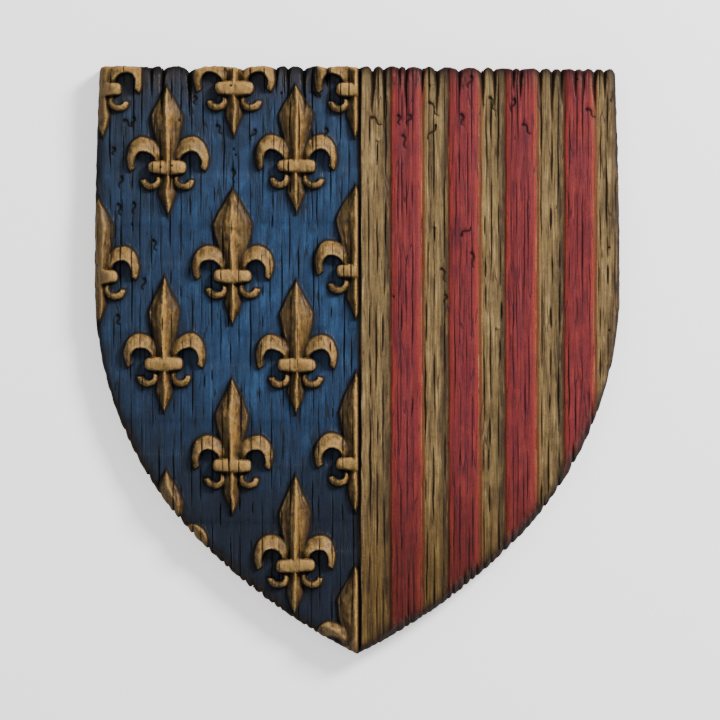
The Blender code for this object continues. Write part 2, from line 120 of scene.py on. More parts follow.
def blurred(values: Array, across: int, along: int) -> Array:
    """Averages a grid of values over a soft window.

    Args:
        values: The grid.
        across: Half the window's width in columns.
        along: Half its height in rows.

    Returns:
        The averaged grid, of the same shape.
    """
    result = values
    for _ in range(2):
        for axis, radius in ((1, across), (0, along)):
            pad = [(0, 0), (0, 0)]
            pad[axis] = (radius + 1, radius)
            total = np.cumsum(np.pad(result, pad, mode="edge"), axis=axis)
            size = result.shape[axis]
            upper = np.take(total, np.arange(size) + 2 * radius + 1, axis=axis)
            lower = np.take(total, np.arange(size), axis=axis)
            result = (upper - lower) / (2 * radius + 1)
    return result


def keep_most(values: Array, here: Window, least: Array) -> None:
    """Raises one window of a map to the values that are given, where they are higher."""
    values[here] = np.maximum(values[here], least)


def points_of(mesh: bpy.types.Mesh) -> Array:
    """Reads where a mesh's points are.

    Args:
        mesh: The mesh.

    Returns:
        The points, one in each row.
    """
    points = np.empty(len(mesh.vertices) * 3)
    mesh.vertices.foreach_get("co", points)
    return points.reshape(-1, 3)


@dataclass(frozen=True)
class Grain:
    """Seeded noise with lumps that may be stretched along the grain, which runs along Y."""

    seed: int
    across: float
    along: float
    most: float = 1.0

    def at(self, x: Array, y: Array) -> Array:
        """Reads the noise.

        Args:
            x: Places across the grain.
            y: Places along it.

        Returns:
            The noise there, from -most to most.
        """
        columns = int(0.6 / self.across) + 3
        rows = int(0.6 / self.along) + 3
        table = np.random.default_rng(self.seed).uniform(-1.0, 1.0, (rows, columns))
        u = (np.asarray(x) + 0.3) / self.across
        v = (np.asarray(y) + 0.3) / self.along
        i = np.clip(np.floor(u).astype(int), 0, columns - 2)
        j = np.clip(np.floor(v).astype(int), 0, rows - 2)
        s = smooth(u - i, 0.0, 1.0)
        t = smooth(v - j, 0.0, 1.0)
        low = table[j, i] * (1 - s) + table[j, i + 1] * s
        high = table[j + 1, i] * (1 - s) + table[j + 1, i + 1] * s
        return self.most * (low * (1 - t) + high * t)


@dataclass(frozen=True)
class Flute:
    """A furrow that opens in the top edge and dies out down the face."""

    across: float  # the share of the way from the middle to the top edge's +X corner
    notch: float  # how far it bites into the top edge
    length: float


FLUTES = (
    Flute(-0.795, 0.0012, 0.025),
    Flute(-0.753, 0.0038, 0.040),
    Flute(-0.652, 0.0042, 0.036),
    Flute(-0.443, 0.0028, 0.007),
    Flute(-0.315, 0.0020, 0.020),
    Flute(-0.268, 0.0026, 0.028),
    Flute(-0.206, 0.0036, 0.036),
    Flute(-0.117, 0.0014, 0.016),
    Flute(0.008, 0.0020, 0.014),
    Flute(0.059, 0.0046, 0.034),
    Flute(0.103, 0.0030, 0.046),
    Flute(0.163, 0.0016, 0.018),
    Flute(0.189, 0.0022, 0.040),
    Flute(0.251, 0.0022, 0.022),
    Flute(0.306, 0.0042, 0.036),
    Flute(0.394, 0.0030, 0.024),
    Flute(0.483, 0.0042, 0.032),
    Flute(0.529, 0.0028, 0.030),
    Flute(0.603, 0.0016, 0.020),
    Flute(0.630, 0.0020, 0.027),
    Flute(0.708, 0.0030, 0.028),
    Flute(0.754, 0.0034, 0.042),
    Flute(0.789, 0.0020, 0.030),
    Flute(0.844, 0.0020, 0.024),
    Flute(0.874, 0.0014, 0.027),
    Flute(0.917, 0.0036, 0.032),
    Flute(0.956, 0.0026, 0.024),
)


@dataclass(frozen=True)
class Outline:
    """The shield's outline, as how far inside it a point lies."""

    height: float = 0.457
    width: float = 0.408
    top_width: float = 0.400
    widest_below_top: float = 0.1727
    haunch_radius: float = 0.2777
    haunch_angle: float = math.radians(44)
    top_fall: float = 0.0025
    corner_blend: float = 0.005
    lobe_fullness: float = 0.55
    nick_depth: float = 0.0030
    nick_pitch: Pair = (0.0032, 0.0066)
    seed: int = 31

    @property
    def top_y(self) -> float:
        """Height of the top edge's highest lobes."""
        return self.height / 2

    @property
    def widest_y(self) -> float:
        """Height at which the shield is widest."""
        return self.top_y - self.widest_below_top

    def lobes(self, x: Array, valleys: list[Pair]) -> Array:
        """How far the grain's ends fall back between round lobes.

        Args:
            x: Places across the grain.
            valleys: The place and depth of each valley, from -X to +X.

        Returns:
            The distance by which the edge is drawn in.
        """
        places = np.array([place for place, _ in valleys])
        depths = np.array([depth for _, depth in valleys])
        i = np.clip(np.searchsorted(places, x) - 1, 0, len(places) - 2)
        share = np.clip((x - places[i]) / (places[i + 1] - places[i]), 0.0, 1.0)
        low = depths[i] * (1 - share) + depths[i + 1] * share
        return low * (1.0 - np.sin(np.pi * share) ** self.lobe_fullness)

    def top_edge(self, x: Array) -> Array:
        """Height of the lobed top edge.

        Args:
            x: Places along the edge.

        Returns:
            Its height there.
        """
        half = self.top_width / 2
        cuts = [(flute.across * half, 1.25 * flute.notch) for flute in FLUTES]
        valleys = [(-half, 0.0), *cuts, (half, 0.0)]
        ragged = 0.0004 * Grain(self.seed, 0.0021, 0.1).at(x, 0.0) - 0.0004
        return self.top_y - self.top_fall * np.maximum(x, 0.0) / half - self.lobes(x, valleys) + ragged

    def nicks(self, x: Array) -> Array:
        """How far the lower edges are eaten into where they cut across the grain.

        Args:
            x: Places across the grain.

        Returns:
            The depth of the nicks there, straight along the grain.
        """
        dice = random.Random(self.seed)
        place = -self.width / 2
        valleys = []
        while place < self.width / 2 + self.nick_pitch[1]:
            valleys.append((place, self.nick_depth * 1.25 * dice.uniform(0.25, 1.0) ** 1.6))
            place += dice.uniform(*self.nick_pitch)
        near_tip = 0.45 * smooth(np.abs(x), 0.0, 0.004) + 0.55 * smooth(np.abs(x), 0.020, 0.080)
        return self.lobes(x, valleys) * near_tip

    def side_distance(self, x: Array, y: Array) -> Array:
        """How far inside the flared sides, the haunches and the long arcs to the tip a point lies.

        Args:
            x: Places across.
            y: Places along.

        Returns:
            The distance, below 0 outside.
        """
        out = np.abs(x)
        flare = (self.width - self.top_width) / 2
        rise = np.maximum(y - self.widest_y, 0.0) / self.widest_below_top
        upper = self.width / 2 - flare * rise**2 - out
        centre_x = self.width / 2 - self.haunch_radius
        dx = out - centre_x
        dy = y - self.widest_y
        haunch = self.haunch_radius - np.hypot(dx, dy)
        normal = (math.cos(self.haunch_angle), -math.sin(self.haunch_angle))
        to_tip = (-centre_x, -self.top_y - self.widest_y)
        shift = (to_tip[0] ** 2 + to_tip[1] ** 2 - self.haunch_radius**2) / (
            2 * (to_tip[0] * normal[0] + to_tip[1] * normal[1] - self.haunch_radius)
        )
        radius = self.haunch_radius - shift
        low_dx = dx - shift * normal[0]
        low_dy = dy - shift * normal[1]
        reach = np.hypot(low_dx, low_dy)
        slant = np.clip(-low_dy / np.maximum(reach, 1e-6), 0.0, 1.0)
        lower = radius - reach
        angle = np.arctan2(dy, dx)
        distance = np.where(dy > 0, upper, np.where(angle > -self.haunch_angle, haunch, lower))
        ragged = 0.0003 * (1 + Grain(self.seed + 1, 0.0030, 0.0046).at(x, y))
        return distance - self.nicks(x) * slant**0.6 * (dy < 0) - ragged

    def distances(self, x: Array, y: Array) -> tuple[Array, Array]:
        """How far inside the sides and below the top edge a point lies, each with the same round corners.

        Args:
            x: Places across.
            y: Places along.

        Returns:
            The distance to the whole outline, and the one to the top edge alone.
        """
        top = self.top_edge(x) - y
        return soft_least(self.side_distance(x, y), top, self.corner_blend), top


@dataclass
class Canvas:
    """The grid over which the relief is worked: a height and the paint's masks at each point."""

    outline: Outline
    step_x: float = 0.0006
    step_y: float = 0.0008
    margin: float = 0.0024

    def __post_init__(self) -> None:
        """Lays out the grid and its empty maps."""
        half_x = self.outline.width / 2 + self.margin
        half_y = self.outline.height / 2 + self.margin
        self.across = np.linspace(-half_x, half_x, round(2 * half_x / self.step_x) + 1)
        self.along = np.linspace(-half_y, half_y, round(2 * half_y / self.step_y) + 1)
        self.x, self.y = np.meshgrid(self.across, self.along)
        self.height = np.zeros_like(self.x)
        self.inside, self.below_top = self.outline.distances(self.x, self.y)
        self.crack = np.full_like(self.x, -1.0)
        self.lily = np.full_like(self.x, -0.02)
        self.gild = np.zeros_like(self.x)

    def window(self, x: Pair, y: Pair) -> tuple[Window, Array, Array]:
        """The part of the grid between two corners.

        Args:
            x: Its lowest and highest place across.
            y: And along.

        Returns:
            Its rows and columns, and its points' places across and along.
        """
        here = slice(*np.searchsorted(self.along, y)), slice(*np.searchsorted(self.across, x))
        return here, self.x[here], self.y[here]

    def around(self, x: float, y: float, radius: float) -> tuple[Window, Array]:
        """The part of the grid round a small disc.

        Args:
            x: The disc's middle across.
            y: And along.
            radius: Its radius.

        Returns:
            Its rows and columns, and how many radii from the middle its points are.
        """
        reach = 2 * radius
        here, px, py = self.window((x - reach, x + reach), (y - reach, y + reach))
        return here, np.hypot(px - x, py - y) / radius

    def read(self, values: Array, x: Array, y: Array) -> Array:
        """Reads a map between its points.

        Args:
            values: The map.
            x: Places across.
            y: Places along.

        Returns:
            The map's values there.
        """
        u = np.clip((x - self.across[0]) / (self.across[1] - self.across[0]), 0, len(self.across) - 1.001)
        v = np.clip((y - self.along[0]) / (self.along[1] - self.along[0]), 0, len(self.along) - 1.001)
        i = u.astype(int)
        j = v.astype(int)
        s = u - i
        t = v - j
        low = values[j, i] * (1 - s) + values[j, i + 1] * s
        high = values[j + 1, i] * (1 - s) + values[j + 1, i + 1] * s
        return low * (1 - t) + high * t


@dataclass
class Board:
    """The ground of both halves: the sunk field, the groove, the gold ground and the raised red pales."""

    field_level: float = 0.018
    gold_rise: float = 0.0034
    red_rise: float = 0.0018
    party_x: float = 0.0021
    groove_width: float = 0.0022
    groove_depth: float = 0.0008
    flank: float = 0.0016
    crown: float = 0.0003
    red_edges: tuple[Pair, ...] = (
        (0.0262, 0.0495),
        (0.0710, 0.0937),
        (0.1148, 0.1381),
        (0.1605, 0.1828),
    )
    wander: Grain = Grain(11, 0.045, 0.022, most=0.0004)
    drift: Grain = Grain(21, 0.030, 0.045, most=0.0016)
    waves: Grain = Grain(22, 0.034, 0.060, most=0.00035)
    reeds: Grain = Grain(23, 0.0046, 0.085)
    seamed: Grain = Grain(24, 0.010, 0.030)
    fibres: Grain = Grain(25, 0.0013, 0.016, most=0.00007)
    hairs: Grain = Grain(26, 0.0007, 0.004, most=0.00005)
    reed_height: float = 0.00032
    seam_depth: float = 0.00038

    @property
    def gold_level(self) -> float:
        """Height of the gold ground above the back."""
        return self.field_level + self.gold_rise

    def wandering(self, x: Array, y: Array) -> Array:
        """Places across, with the carver's unsteady lines taken out."""
        return x + self.wander.at(x, y)

    def into_red(self, x: Array) -> Array:
        """How far inside the nearest red pale a place is, below 0 outside."""
        return np.max([np.minimum(x - low, high - x) for low, high in self.red_edges], axis=0)

    def to_red(self, x: Array) -> Array:
        """How far the next red pale is towards +X."""
        return np.min([np.where(x < low, low - x, 1.0) for low, _ in self.red_edges], axis=0)

    def past_red(self, x: Array) -> Array:
        """How far the last red pale is towards -X."""
        return np.min([np.where(x > high, x - high, 1.0) for _, high in self.red_edges], axis=0)

    def strips(self, zone: Zone, half_width: float) -> list[Pair]:
        """The stretches of the board across the grain that belong to a zone.

        Args:
            zone: The zone.
            half_width: Half the shield's width.

        Returns:
            The lowest and highest place across of each stretch.
        """
        if zone is Zone.FIELD:
            return [(-half_width, self.party_x - self.groove_width / 2)]
        if zone is Zone.RED:
            return list(self.red_edges)
        starts = [self.party_x + self.groove_width / 2] + [high for _, high in self.red_edges]
        ends = [low for low, _ in self.red_edges] + [half_width]
        return list(zip(starts, ends))

    def carve(self, canvas: Canvas) -> None:
        """Sets the ground's heights.

        Args:
            canvas: The grid that is carved.
        """
        x = self.wandering(canvas.x, canvas.y)
        groove_low = self.party_x - self.groove_width / 2
        groove_high = self.party_x + self.groove_width / 2
        field_side = self.field_level - self.groove_depth * smooth(x, groove_low, self.party_x)
        step = smooth(x, self.party_x, groove_high)
        level = field_side + (self.gold_level + self.groove_depth - self.field_level) * step
        red = self.into_red(x)
        swell = smooth(red, -self.flank / 2, self.flank / 2) + 0.25 * smooth(red, 0.0, 0.0035) - 0.25
        level += self.red_rise * np.maximum(swell, 0.0) + self.crown * smooth(red, 0.0, 0.010)
        canvas.height = level
        self.weather(canvas)

    def weather(self, canvas: Canvas) -> None:
        """Adds the slow waves, the reeds and the fibres of the imitated wood.

        Args:
            canvas: The grid that is carved.
        """
        x, y = canvas.x, canvas.y
        drift = x + self.drift.at(x, y)
        reeds = np.abs(self.reeds.at(drift, y))
        seams = np.exp(-((reeds / 0.10) ** 2)) * smooth(self.seamed.at(x, y), -0.1, 0.5)
        round_reeds = self.reed_height * (np.sqrt(reeds) - 0.6)
        fibres = self.fibres.at(drift, y) + self.hairs.at(x, y)
        canvas.height += self.waves.at(x, y) + round_reeds + fibres - self.seam_depth * seams
        canvas.crack = np.maximum(canvas.crack, 1.15 * seams - 1.0)


@dataclass(frozen=True)
class CrackStyle:
    """What the cracks of one zone are like. They follow one another along lines of the grain."""

    pitch: float  # between two lines
    lengths: Pair
    gaps: Pair
    half_widths: Pair
    depths: Pair
    inset: float = 0.0022  # from the strip's edges


@dataclass
class Cracks:
    """The cracks along the grain: boat-shaped grooves that wander a little."""

    board: Board
    outline: Outline
    styles: dict[Zone, CrackStyle] = field(
        default_factory=lambda: {
            Zone.FIELD: CrackStyle(
                pitch=0.0076,
                lengths=(0.010, 0.085),
                gaps=(-0.002, 0.022),
                half_widths=(0.00028, 0.00052),
                depths=(0.0005, 0.0012),
            ),
            Zone.GOLD: CrackStyle(
                pitch=0.0054,
                lengths=(0.018, 0.110),
                gaps=(-0.004, 0.016),
                half_widths=(0.00032, 0.00066),
                depths=(0.0006, 0.0014),
            ),
            Zone.RED: CrackStyle(
                pitch=0.0050,
                lengths=(0.020, 0.140),
                gaps=(-0.004, 0.020),
                half_widths=(0.00026, 0.00042),
                depths=(0.0003, 0.0007),
            ),
        }
    )
    seed: int = 47
    first_groove_seed: int = 1000
    wander: float = 0.00045
    unevenness: float = 0.35
    least_half_width: float = 0.00010
    lip: float = 0.00012
    flute_seed: int = 500
    flute_half_width: float = 0.0030
    flute_depth: float = 0.0046
    flute_wander: float = 0.0008

    def places(self, zone: Zone) -> list[tuple[float, float, float, float, float]]:
        """Lays out the cracks of a zone along its lines.

        Args:
            zone: Where they run.

        Returns:
            The middle's x and y, the length, half the width and the depth of each.
        """
        dice = random.Random(f"{self.seed} {zone.name}")
        style = self.styles[zone]
        placed = []
        for low, high in self.board.strips(zone, self.outline.width / 2):
            low, high = low + style.inset, high - style.inset
            lines = max(1, round((high - low) / style.pitch))
            for line in range(lines):
                middle = low + (high - low) * (line + 0.5) / lines
                drift = 0.0
                y = -self.outline.top_y - dice.uniform(0.0, style.lengths[1])
                while y < self.outline.top_y:
                    length = style.lengths[0] + (style.lengths[1] - style.lengths[0]) * dice.random() ** 1.6
                    drift = 0.75 * drift + style.pitch * dice.uniform(-0.22, 0.22)
                    share = dice.random()
                    width = style.half_widths[0] + share * (style.half_widths[1] - style.half_widths[0])
                    depth = style.depths[0] + share * (style.depths[1] - style.depths[0])
                    placed.append((middle + drift, y + length / 2, length, width, depth))
                    y += length + dice.uniform(*style.gaps)
        return placed

    def groove(
        self, canvas: Canvas, x: float, y: float, length: float, width: float, depth: float, seed: int
    ) -> None:
        """Carves one crack.

        Args:
            canvas: The grid that is carved.
            x: The crack's middle across.
            y: And along.
            length: Its length.
            width: Half its width in the middle.
            depth: Its depth there.
            seed: What its wandering starts from.
        """
        half = length / 2
        reach = 3 * width + 0.002
        here, px, py = canvas.window((x - reach, x + reach), (y - half, y + half))
        along = np.clip(np.abs(py - y) / half, 0.0, 1.0)
        middle = np.zeros_like(py)
        wander = Grain(seed, 1.0, 0.016, self.wander).at(middle, py)
        edge = 1.0 + Grain(seed + 1, 1.0, 0.011, self.unevenness).at(middle, py)
        off = np.abs(px - x - wander) / np.maximum(width * (1 - along**2.6) * edge, self.least_half_width)
        canvas.height[here] -= depth * (1 - along**3) * np.clip(1.2 - off, 0.0, 1.0)
        canvas.height[here] += self.lip * np.exp(-(((off - 1.8) / 0.5) ** 2)) * (1 - along**2)
        keep_most(canvas.crack, here, np.clip(1.6 - off, -1.0, 1.0) * (1 - along**4))

    def carve(self, canvas: Canvas) -> None:
        """Carves the cracks of all zones.

        Args:
            canvas: The grid that is carved.
        """
        seed = self.first_groove_seed
        for zone in Zone:
            for place in self.places(zone):
                seed += 2
                self.groove(canvas, *place, seed)

    def carve_flutes(self, canvas: Canvas) -> None:
        """Carves the furrows that open in the top edge, with round reeds between them.

        Args:
            canvas: The grid that is carved.
        """
        deepest = max(flute.notch for flute in FLUTES)
        for number, flute in enumerate(FLUTES):
            x = flute.across * self.outline.top_width / 2
            size = 0.5 + 0.5 * flute.notch / deepest
            top = self.outline.top_y
            here, px, py = canvas.window((x - 0.008, x + 0.008), (top - flute.length * 1.3, top + 0.004))
            down = np.clip((top - py) / (1.25 * flute.length), 0.0, 1.0)
            wander = Grain(self.flute_seed + number, 1.0, 0.016, self.flute_wander).at(np.zeros_like(py), py)
            half = np.maximum(self.flute_half_width * size * (1 - down) ** 0.8, 0.0003)
            off = np.abs(px - x - wander) / half
            depth = self.flute_depth * size * (1 - down) ** 0.9
            canvas.height[here] -= depth * np.clip(1 - off, 0.0, 1.0) ** 0.85
            keep_most(canvas.crack, here, np.clip(1.25 - off, -1.0, 1.0) - 0.9 * down**3)


@dataclass(frozen=True)
class Place:
    """Where a lily is, and how the carver varied it."""

    across: float  # where its band lies: the share of the way from the middle to the widest +X side
    down: float  # and the share of the way from the top to the tip
    reach: float = 0.0675
    breadth: float = 1.0
    lean: float = 0.0


LILIES = (
    Place(-0.968, 0.041),
    Place(-0.983, 0.359, reach=0.0612, breadth=0.92, lean=0.05),
    Place(-0.720, 0.174, reach=0.0636, breadth=0.94, lean=0.08),
    Place(-0.732, 0.507, reach=0.0687, breadth=0.90, lean=0.13),
    Place(-0.723, 0.830, reach=0.0665),
    Place(-0.468, 0.040),
    Place(-0.473, 0.358, reach=0.0689, breadth=1.16, lean=0.09),
    Place(-0.475, 0.679, reach=0.0689, breadth=0.95, lean=0.09),
    Place(-0.232, 0.171, reach=0.0636, lean=-0.04),
    Place(-0.231, 0.509, reach=0.0671, lean=-0.04),
    Place(-0.236, 0.848, reach=0.0713, breadth=0.94),
    Place(-0.007, 0.042),
    Place(-0.008, 0.349, reach=0.0674, breadth=1.12),
    Place(-0.007, 0.676, reach=0.0720, breadth=0.95),
    Place(-0.008, 0.995, reach=0.0674, breadth=1.10),
)


@dataclass(frozen=True)
class Petal:
    """A ridged petal along Y, measured from the middle of the band."""

    tip: float
    shoulder: float
    left: float  # its half widths at the shoulder
    right: float
    neck: float
    rise: float
    edge_rise: float
    lean: float  # how far the ridge is off its middle
    point: float  # 1 gives the petal a round point, 2 a hollow one
    seed: int

    def shape(self, u: Array, v: Array) -> tuple[Array, Array]:
        """The petal's height over the field and how far inside its edge a point lies.

        Args:
            u: Places across, from the band's middle.
            v: Places along.

        Returns:
            The height and the inward distance.
        """
        length = abs(self.tip)
        turn = abs(self.shoulder) / length
        share = np.clip(v / self.tip, -0.2, 1.0)
        beyond = np.clip((1.0 - share) / (1.0 - turn), 0.0, 1.0)
        pointed = 0.35 * np.sin(np.pi / 2 * beyond) ** self.point + 0.65 * beyond
        near = np.clip(share / turn, 0.0, 1.0)
        neck = 2 * self.neck / (self.left + self.right)
        waisted = neck + (1 - neck) * (0.5 * near + 0.5 * np.sin(np.pi / 2 * near) ** 1.3)
        swell = np.where(share > turn, pointed, waisted)
        across = u - self.lean * swell
        half = np.where(across < 0, self.left + self.lean, self.right - self.lean) * swell
        inward = (half - np.abs(across)) * 0.85
        inward = np.minimum(inward, (length - np.abs(v)) * 0.5)
        inward = np.minimum(inward, v * math.copysign(1.0, self.tip) + 0.004)
        part = np.clip(np.abs(across) / np.maximum(half, 0.0003), 0.0, 1.0)
        rising = np.sin(np.pi / 2 * np.clip((1.12 - share) / (1.12 - turn * 0.9), 0.0, 1.0)) ** 0.8
        ridge = self.rise * (0.25 + 0.75 * rising)
        edge = self.edge_rise * (0.35 + 0.65 * rising)
        scooped = (1 - part) ** 1.5
        crest = np.exp(-((across / 0.0014) ** 2)) * 0.0004 * rising
        lip = np.exp(-(((1 - part) / 0.13) ** 2)) * 0.00026 * rising
        fan = np.sign(across) * part * self.left
        ribs = Grain(self.seed, 0.0019, 0.017).at(fan, v)
        ribs += Grain(self.seed + 1, 0.0034, 0.010, most=0.7).at(fan, v)
        marks = 0.00052 * ribs * smooth(part, 0.05, 0.30)
        return edge + (ridge - edge) * scooped + crest + lip + marks, inward


@dataclass(frozen=True)
class Curl:
    """A petal that bends over into a hook on both sides of the band."""

    centre: Pair
    radii: Pair
    inner_radius: float  # the one across, on the side of the lily's middle
    angles: Pair
    fullest: float  # the share of the way from its root to its tip at which it is widest
    falls: Pair  # how soon it narrows from there, towards its root and its tip
    least: float  # the share of its width that is left there
    width: float
    rise: float

    def shape(self, u: Array, v: Array) -> tuple[Array, Array]:
        """The curls' height over the field and how far inside their edges a point lies.

        Args:
            u: Places across, from the band's middle.
            v: Places along.

        Returns:
            The height and the inward distance.
        """
        out_from = np.abs(u) - self.centre[0]
        qx = out_from / np.where(out_from > 0, self.radii[0], self.inner_radius)
        qy = (v - self.centre[1]) / self.radii[1]
        angle = np.arctan2(qy, qx)
        start, end = self.angles
        if start > math.pi / 2 and end > math.pi:
            angle = np.where(angle < 0.45, angle + 2 * math.pi, angle)
        else:
            angle = np.where(angle < -math.pi / 2, angle + 2 * math.pi, angle)
        share = (angle - start) / (end - start)
        size = (self.radii[0] + self.inner_radius) / 4 + self.radii[1] / 2
        out = (np.hypot(qx, qy) - 1.0) * size
        held = np.clip(share, 0.0, 1.0)
        fall = np.where(held < self.fullest, self.falls[0], self.falls[1])
        bell = np.exp(-(((held - self.fullest) / fall) ** 2))
        spread = self.width * (self.least + (1 - self.least) * bell)
        middle = spread / 2
        inward = middle - np.abs(out - middle)
        past = np.maximum(np.maximum(-share, share - 1.0), 0.0) * abs(end - start) * size
        inward = np.where(past > 0, -np.hypot(past, np.minimum(inward, 0.0)), inward)
        part = np.clip(out / np.maximum(spread, 0.0003), 0.0, 1.0)
        top = self.rise * (0.50 + 0.50 * np.sin(np.pi * held) ** 0.8)
        lip = 0.00050 * np.exp(-((part / 0.10) ** 2)) + 0.00022 * np.sin(37 * held + 5 * part) * part
        return top * (1.0 - 0.10 * part - 0.55 * part**2.6) + lip, inward


@dataclass
class Lilies:
    """The lilies of the field, each with its two petals, its curls, its hooks and its band."""

    outline: Outline
    band_half_length: float = 0.0151
    band_radius: float = 0.0052
    band_rise: float = 0.0093
    upper_half_width: float = 0.0135
    upper_shoulder: float = 0.0398
    wall: float = 0.0009
    cut_x: float = 0.0008
    reach_across: float = 0.036
    reach_down: float = 0.044
    reach_up: float = 0.078
    join: float = 0.0005
    curl: Curl = Curl(
        centre=(0.0192, 0.0041),
        radii=(0.0066, 0.0081),
        inner_radius=0.0092,
        angles=(math.radians(172), math.radians(-30)),
        fullest=0.43,
        falls=(0.25, 0.34),
        least=0.48,
        width=0.0121,
        rise=0.0088,
    )
    hook: Curl = Curl(
        centre=(0.0127, -0.0088),
        radii=(0.0042, 0.0036),
        inner_radius=0.0042,
        angles=(math.radians(146), math.radians(352)),
        fullest=0.65,
        falls=(0.35, 0.39),
        least=0.60,
        width=0.0060,
        rise=0.0070,
    )

    def band(self, u: Array, v: Array) -> tuple[Array, Array]:
        """The band's height over the field and how far inside its edge a point lies.

        Args:
            u: Places across, from its middle.
            v: Places along.

        Returns:
            The height and the inward distance.
        """
        along = np.abs(u) / self.band_half_length
        swelling = 1.0 + 0.05 * np.sin(5.0 * along + 0.6)
        end = np.clip((along - 0.72) / 0.28, 0.0, 1.0)
        half = self.band_radius * swelling * np.sqrt(np.maximum(1.0 - end**2.6, 0.0))
        inward = np.minimum(half - np.abs(v), (1.0 - along) * self.band_half_length)
        part = np.clip(np.abs(v) / np.maximum(half, 0.0003), 0.0, 1.0)
        top = self.band_rise - 0.0003 * np.cos(6.0 * along) - 0.0014 * end**2
        return top - self.band_radius * 0.75 * (1.0 - np.sqrt(1.0 - 0.96 * part**2)), inward

    def petals(self, place: Place, number: int) -> tuple[Petal, Petal]:
        """The upper and the lower petal of a lily.

        Args:
            place: The lily.
            number: The lily's number, from which its tool marks start.

        Returns:
            The two petals.
        """
        half = self.upper_half_width * place.breadth
        upper = Petal(
            tip=place.reach,
            shoulder=self.upper_shoulder,
            left=half,
            right=half,
            neck=0.0042,
            rise=0.0088,
            edge_rise=0.0026,
            lean=-half * place.lean,
            point=1.45,
            seed=300 + 4 * number,
        )
        lower = Petal(
            tip=-0.0382,
            shoulder=-0.0208,
            left=0.0066,
            right=0.0066,
            neck=0.0030,
            rise=0.0066,
            edge_rise=0.0024,
            lean=0.0,
            point=1.2,
            seed=302 + 4 * number,
        )
        return upper, lower

    def carve_one(self, canvas: Canvas, number: int, place: Place) -> None:
        """Raises one lily from the field.

        Args:
            canvas: The grid that is carved.
            number: The lily's number, from which its own unsteady lines start.
            place: Where it is.
        """
        base_x = place.across * self.outline.width / 2
        base_y = self.outline.top_y - place.down * self.outline.height
        here, x, y = canvas.window(
            (base_x - self.reach_across, base_x + self.reach_across),
            (base_y - self.reach_down, base_y + self.reach_up),
        )
        u = x - base_x + Grain(60 + number, 0.009, 0.011, most=0.0007).at(x, y)
        v = y - base_y + Grain(90 + number, 0.010, 0.012, most=0.0006).at(x, y)
        u += Grain(120 + number, 0.0026, 0.0030, most=0.00022).at(x, y)
        raised = np.zeros_like(x)
        inside = np.full_like(x, -0.02)
        upper, lower = self.petals(place, number)
        for form in (upper.shape, lower.shape, self.hook.shape, self.curl.shape, self.band):
            height, inward = form(u, v)
            wall = smooth(inward, -self.wall * 0.75, self.wall * 0.35)
            raised = soft_most(raised, height * wall, self.join)
            inside = np.maximum(inside, inward)
        raised = np.maximum(raised - self.join / 4, 0.0)
        lumps = Grain(150 + number, 0.0036, 0.0046, most=0.00045).at(x, y)
        pits = Grain(180 + number, 0.0016, 0.0021, most=0.00014).at(x, y)
        raised += (lumps + pits) * smooth(raised, 0.001, 0.004)
        raised *= smooth(self.cut_x - x, -0.0003, 0.0005)
        canvas.height[here] += raised
        keep_most(canvas.gild, here, raised)
        keep_most(canvas.lily, here, np.minimum(inside, self.cut_x - x))

    def carve(self, canvas: Canvas) -> None:
        """Raises all the lilies.

        Args:
            canvas: The grid that is carved.
        """
        for number, place in enumerate(LILIES):
            self.carve_one(canvas, number, place)


@dataclass(frozen=True)
class Track:
    """A stylised worm track: a hole with a winding tail."""

    x: float
    y: float
    heading: float  # the direction in which its tail leaves, in degrees from +X
    length: float = 0.0095
    bend: float = 0.0013


TRACKS = (
    Track(0.0110, 0.1876, -35),
    Track(0.0316, 0.1890, -80, 0.0070),
    Track(0.0406, 0.1890, -105, 0.0075),
    Track(0.0352, 0.1735, -75, 0.0100),
    Track(0.0560, 0.1990, -55, 0.0120),
    Track(0.0604, 0.1813, -120, 0.0120),
    Track(0.0804, 0.1898, -80, 0.0085),
    Track(0.0881, 0.2190, -105, 0.0090),
    Track(0.1025, 0.2030, -65, 0.0110),
    Track(0.1212, 0.2015, -100, 0.0100),
    Track(0.1284, 0.1820, -50, 0.0090),
    Track(0.1777, 0.1937, -40, 0.0085),
    Track(0.1977, 0.2062, -95, 0.0070),
    Track(0.0804, 0.0966, 40, 0.0095),
    Track(0.0884, 0.0826, -80, 0.0115),
    Track(0.0652, 0.0705, -70, 0.0110),
    Track(0.0680, 0.0500, -90, 0.0060),
    Track(-0.1806, 0.1855, -35, 0.0075),
    Track(-0.1732, 0.1875, -100, 0.0060),
    Track(-0.1888, 0.1640, -90, 0.0050),
    Track(-0.1825, 0.1418, -100, 0.0085),
    Track(-0.1853, 0.1205, -75, 0.0085),
    Track(-0.1732, 0.1215, -90, 0.0085),
    Track(-0.1086, 0.1815, -60, 0.0070),
    Track(-0.0792, 0.1780, -115, 0.0080),
    Track(-0.0966, 0.1475, -80, 0.0100),
    Track(-0.1259, 0.2040, -85, 0.0060),
    Track(-0.0293, 0.2045, 160, 0.0080),
    Track(-0.0242, 0.1790, -90, 0.0070),
    Track(-0.1582, 0.0925, -70, 0.0080),
    Track(-0.1652, 0.0628, -95, 0.0085),
    Track(-0.1858, 0.0345, -80, 0.0070),
)
PINHOLES = (
    (-0.1745, 0.1052),
    (-0.0958, 0.1633),
    (-0.0587, 0.2068),
    (-0.0942, 0.1590),
    (-0.1520, 0.1490),
    (0.1950, 0.0870),
    (0.1950, 0.0230),
    (0.0280, 0.0490),
    (0.0560, 0.2125),
    (0.1700, 0.2170),
    (-0.1433, 0.1501),
    (-0.1376, 0.1856),
    (-0.0977, 0.2121),
)
BEADS = ((0.0161, 0.1704), (0.0600, 0.1036), (0.1085, 0.0248), (-0.0959, 0.1030), (-0.0466, 0.0248))


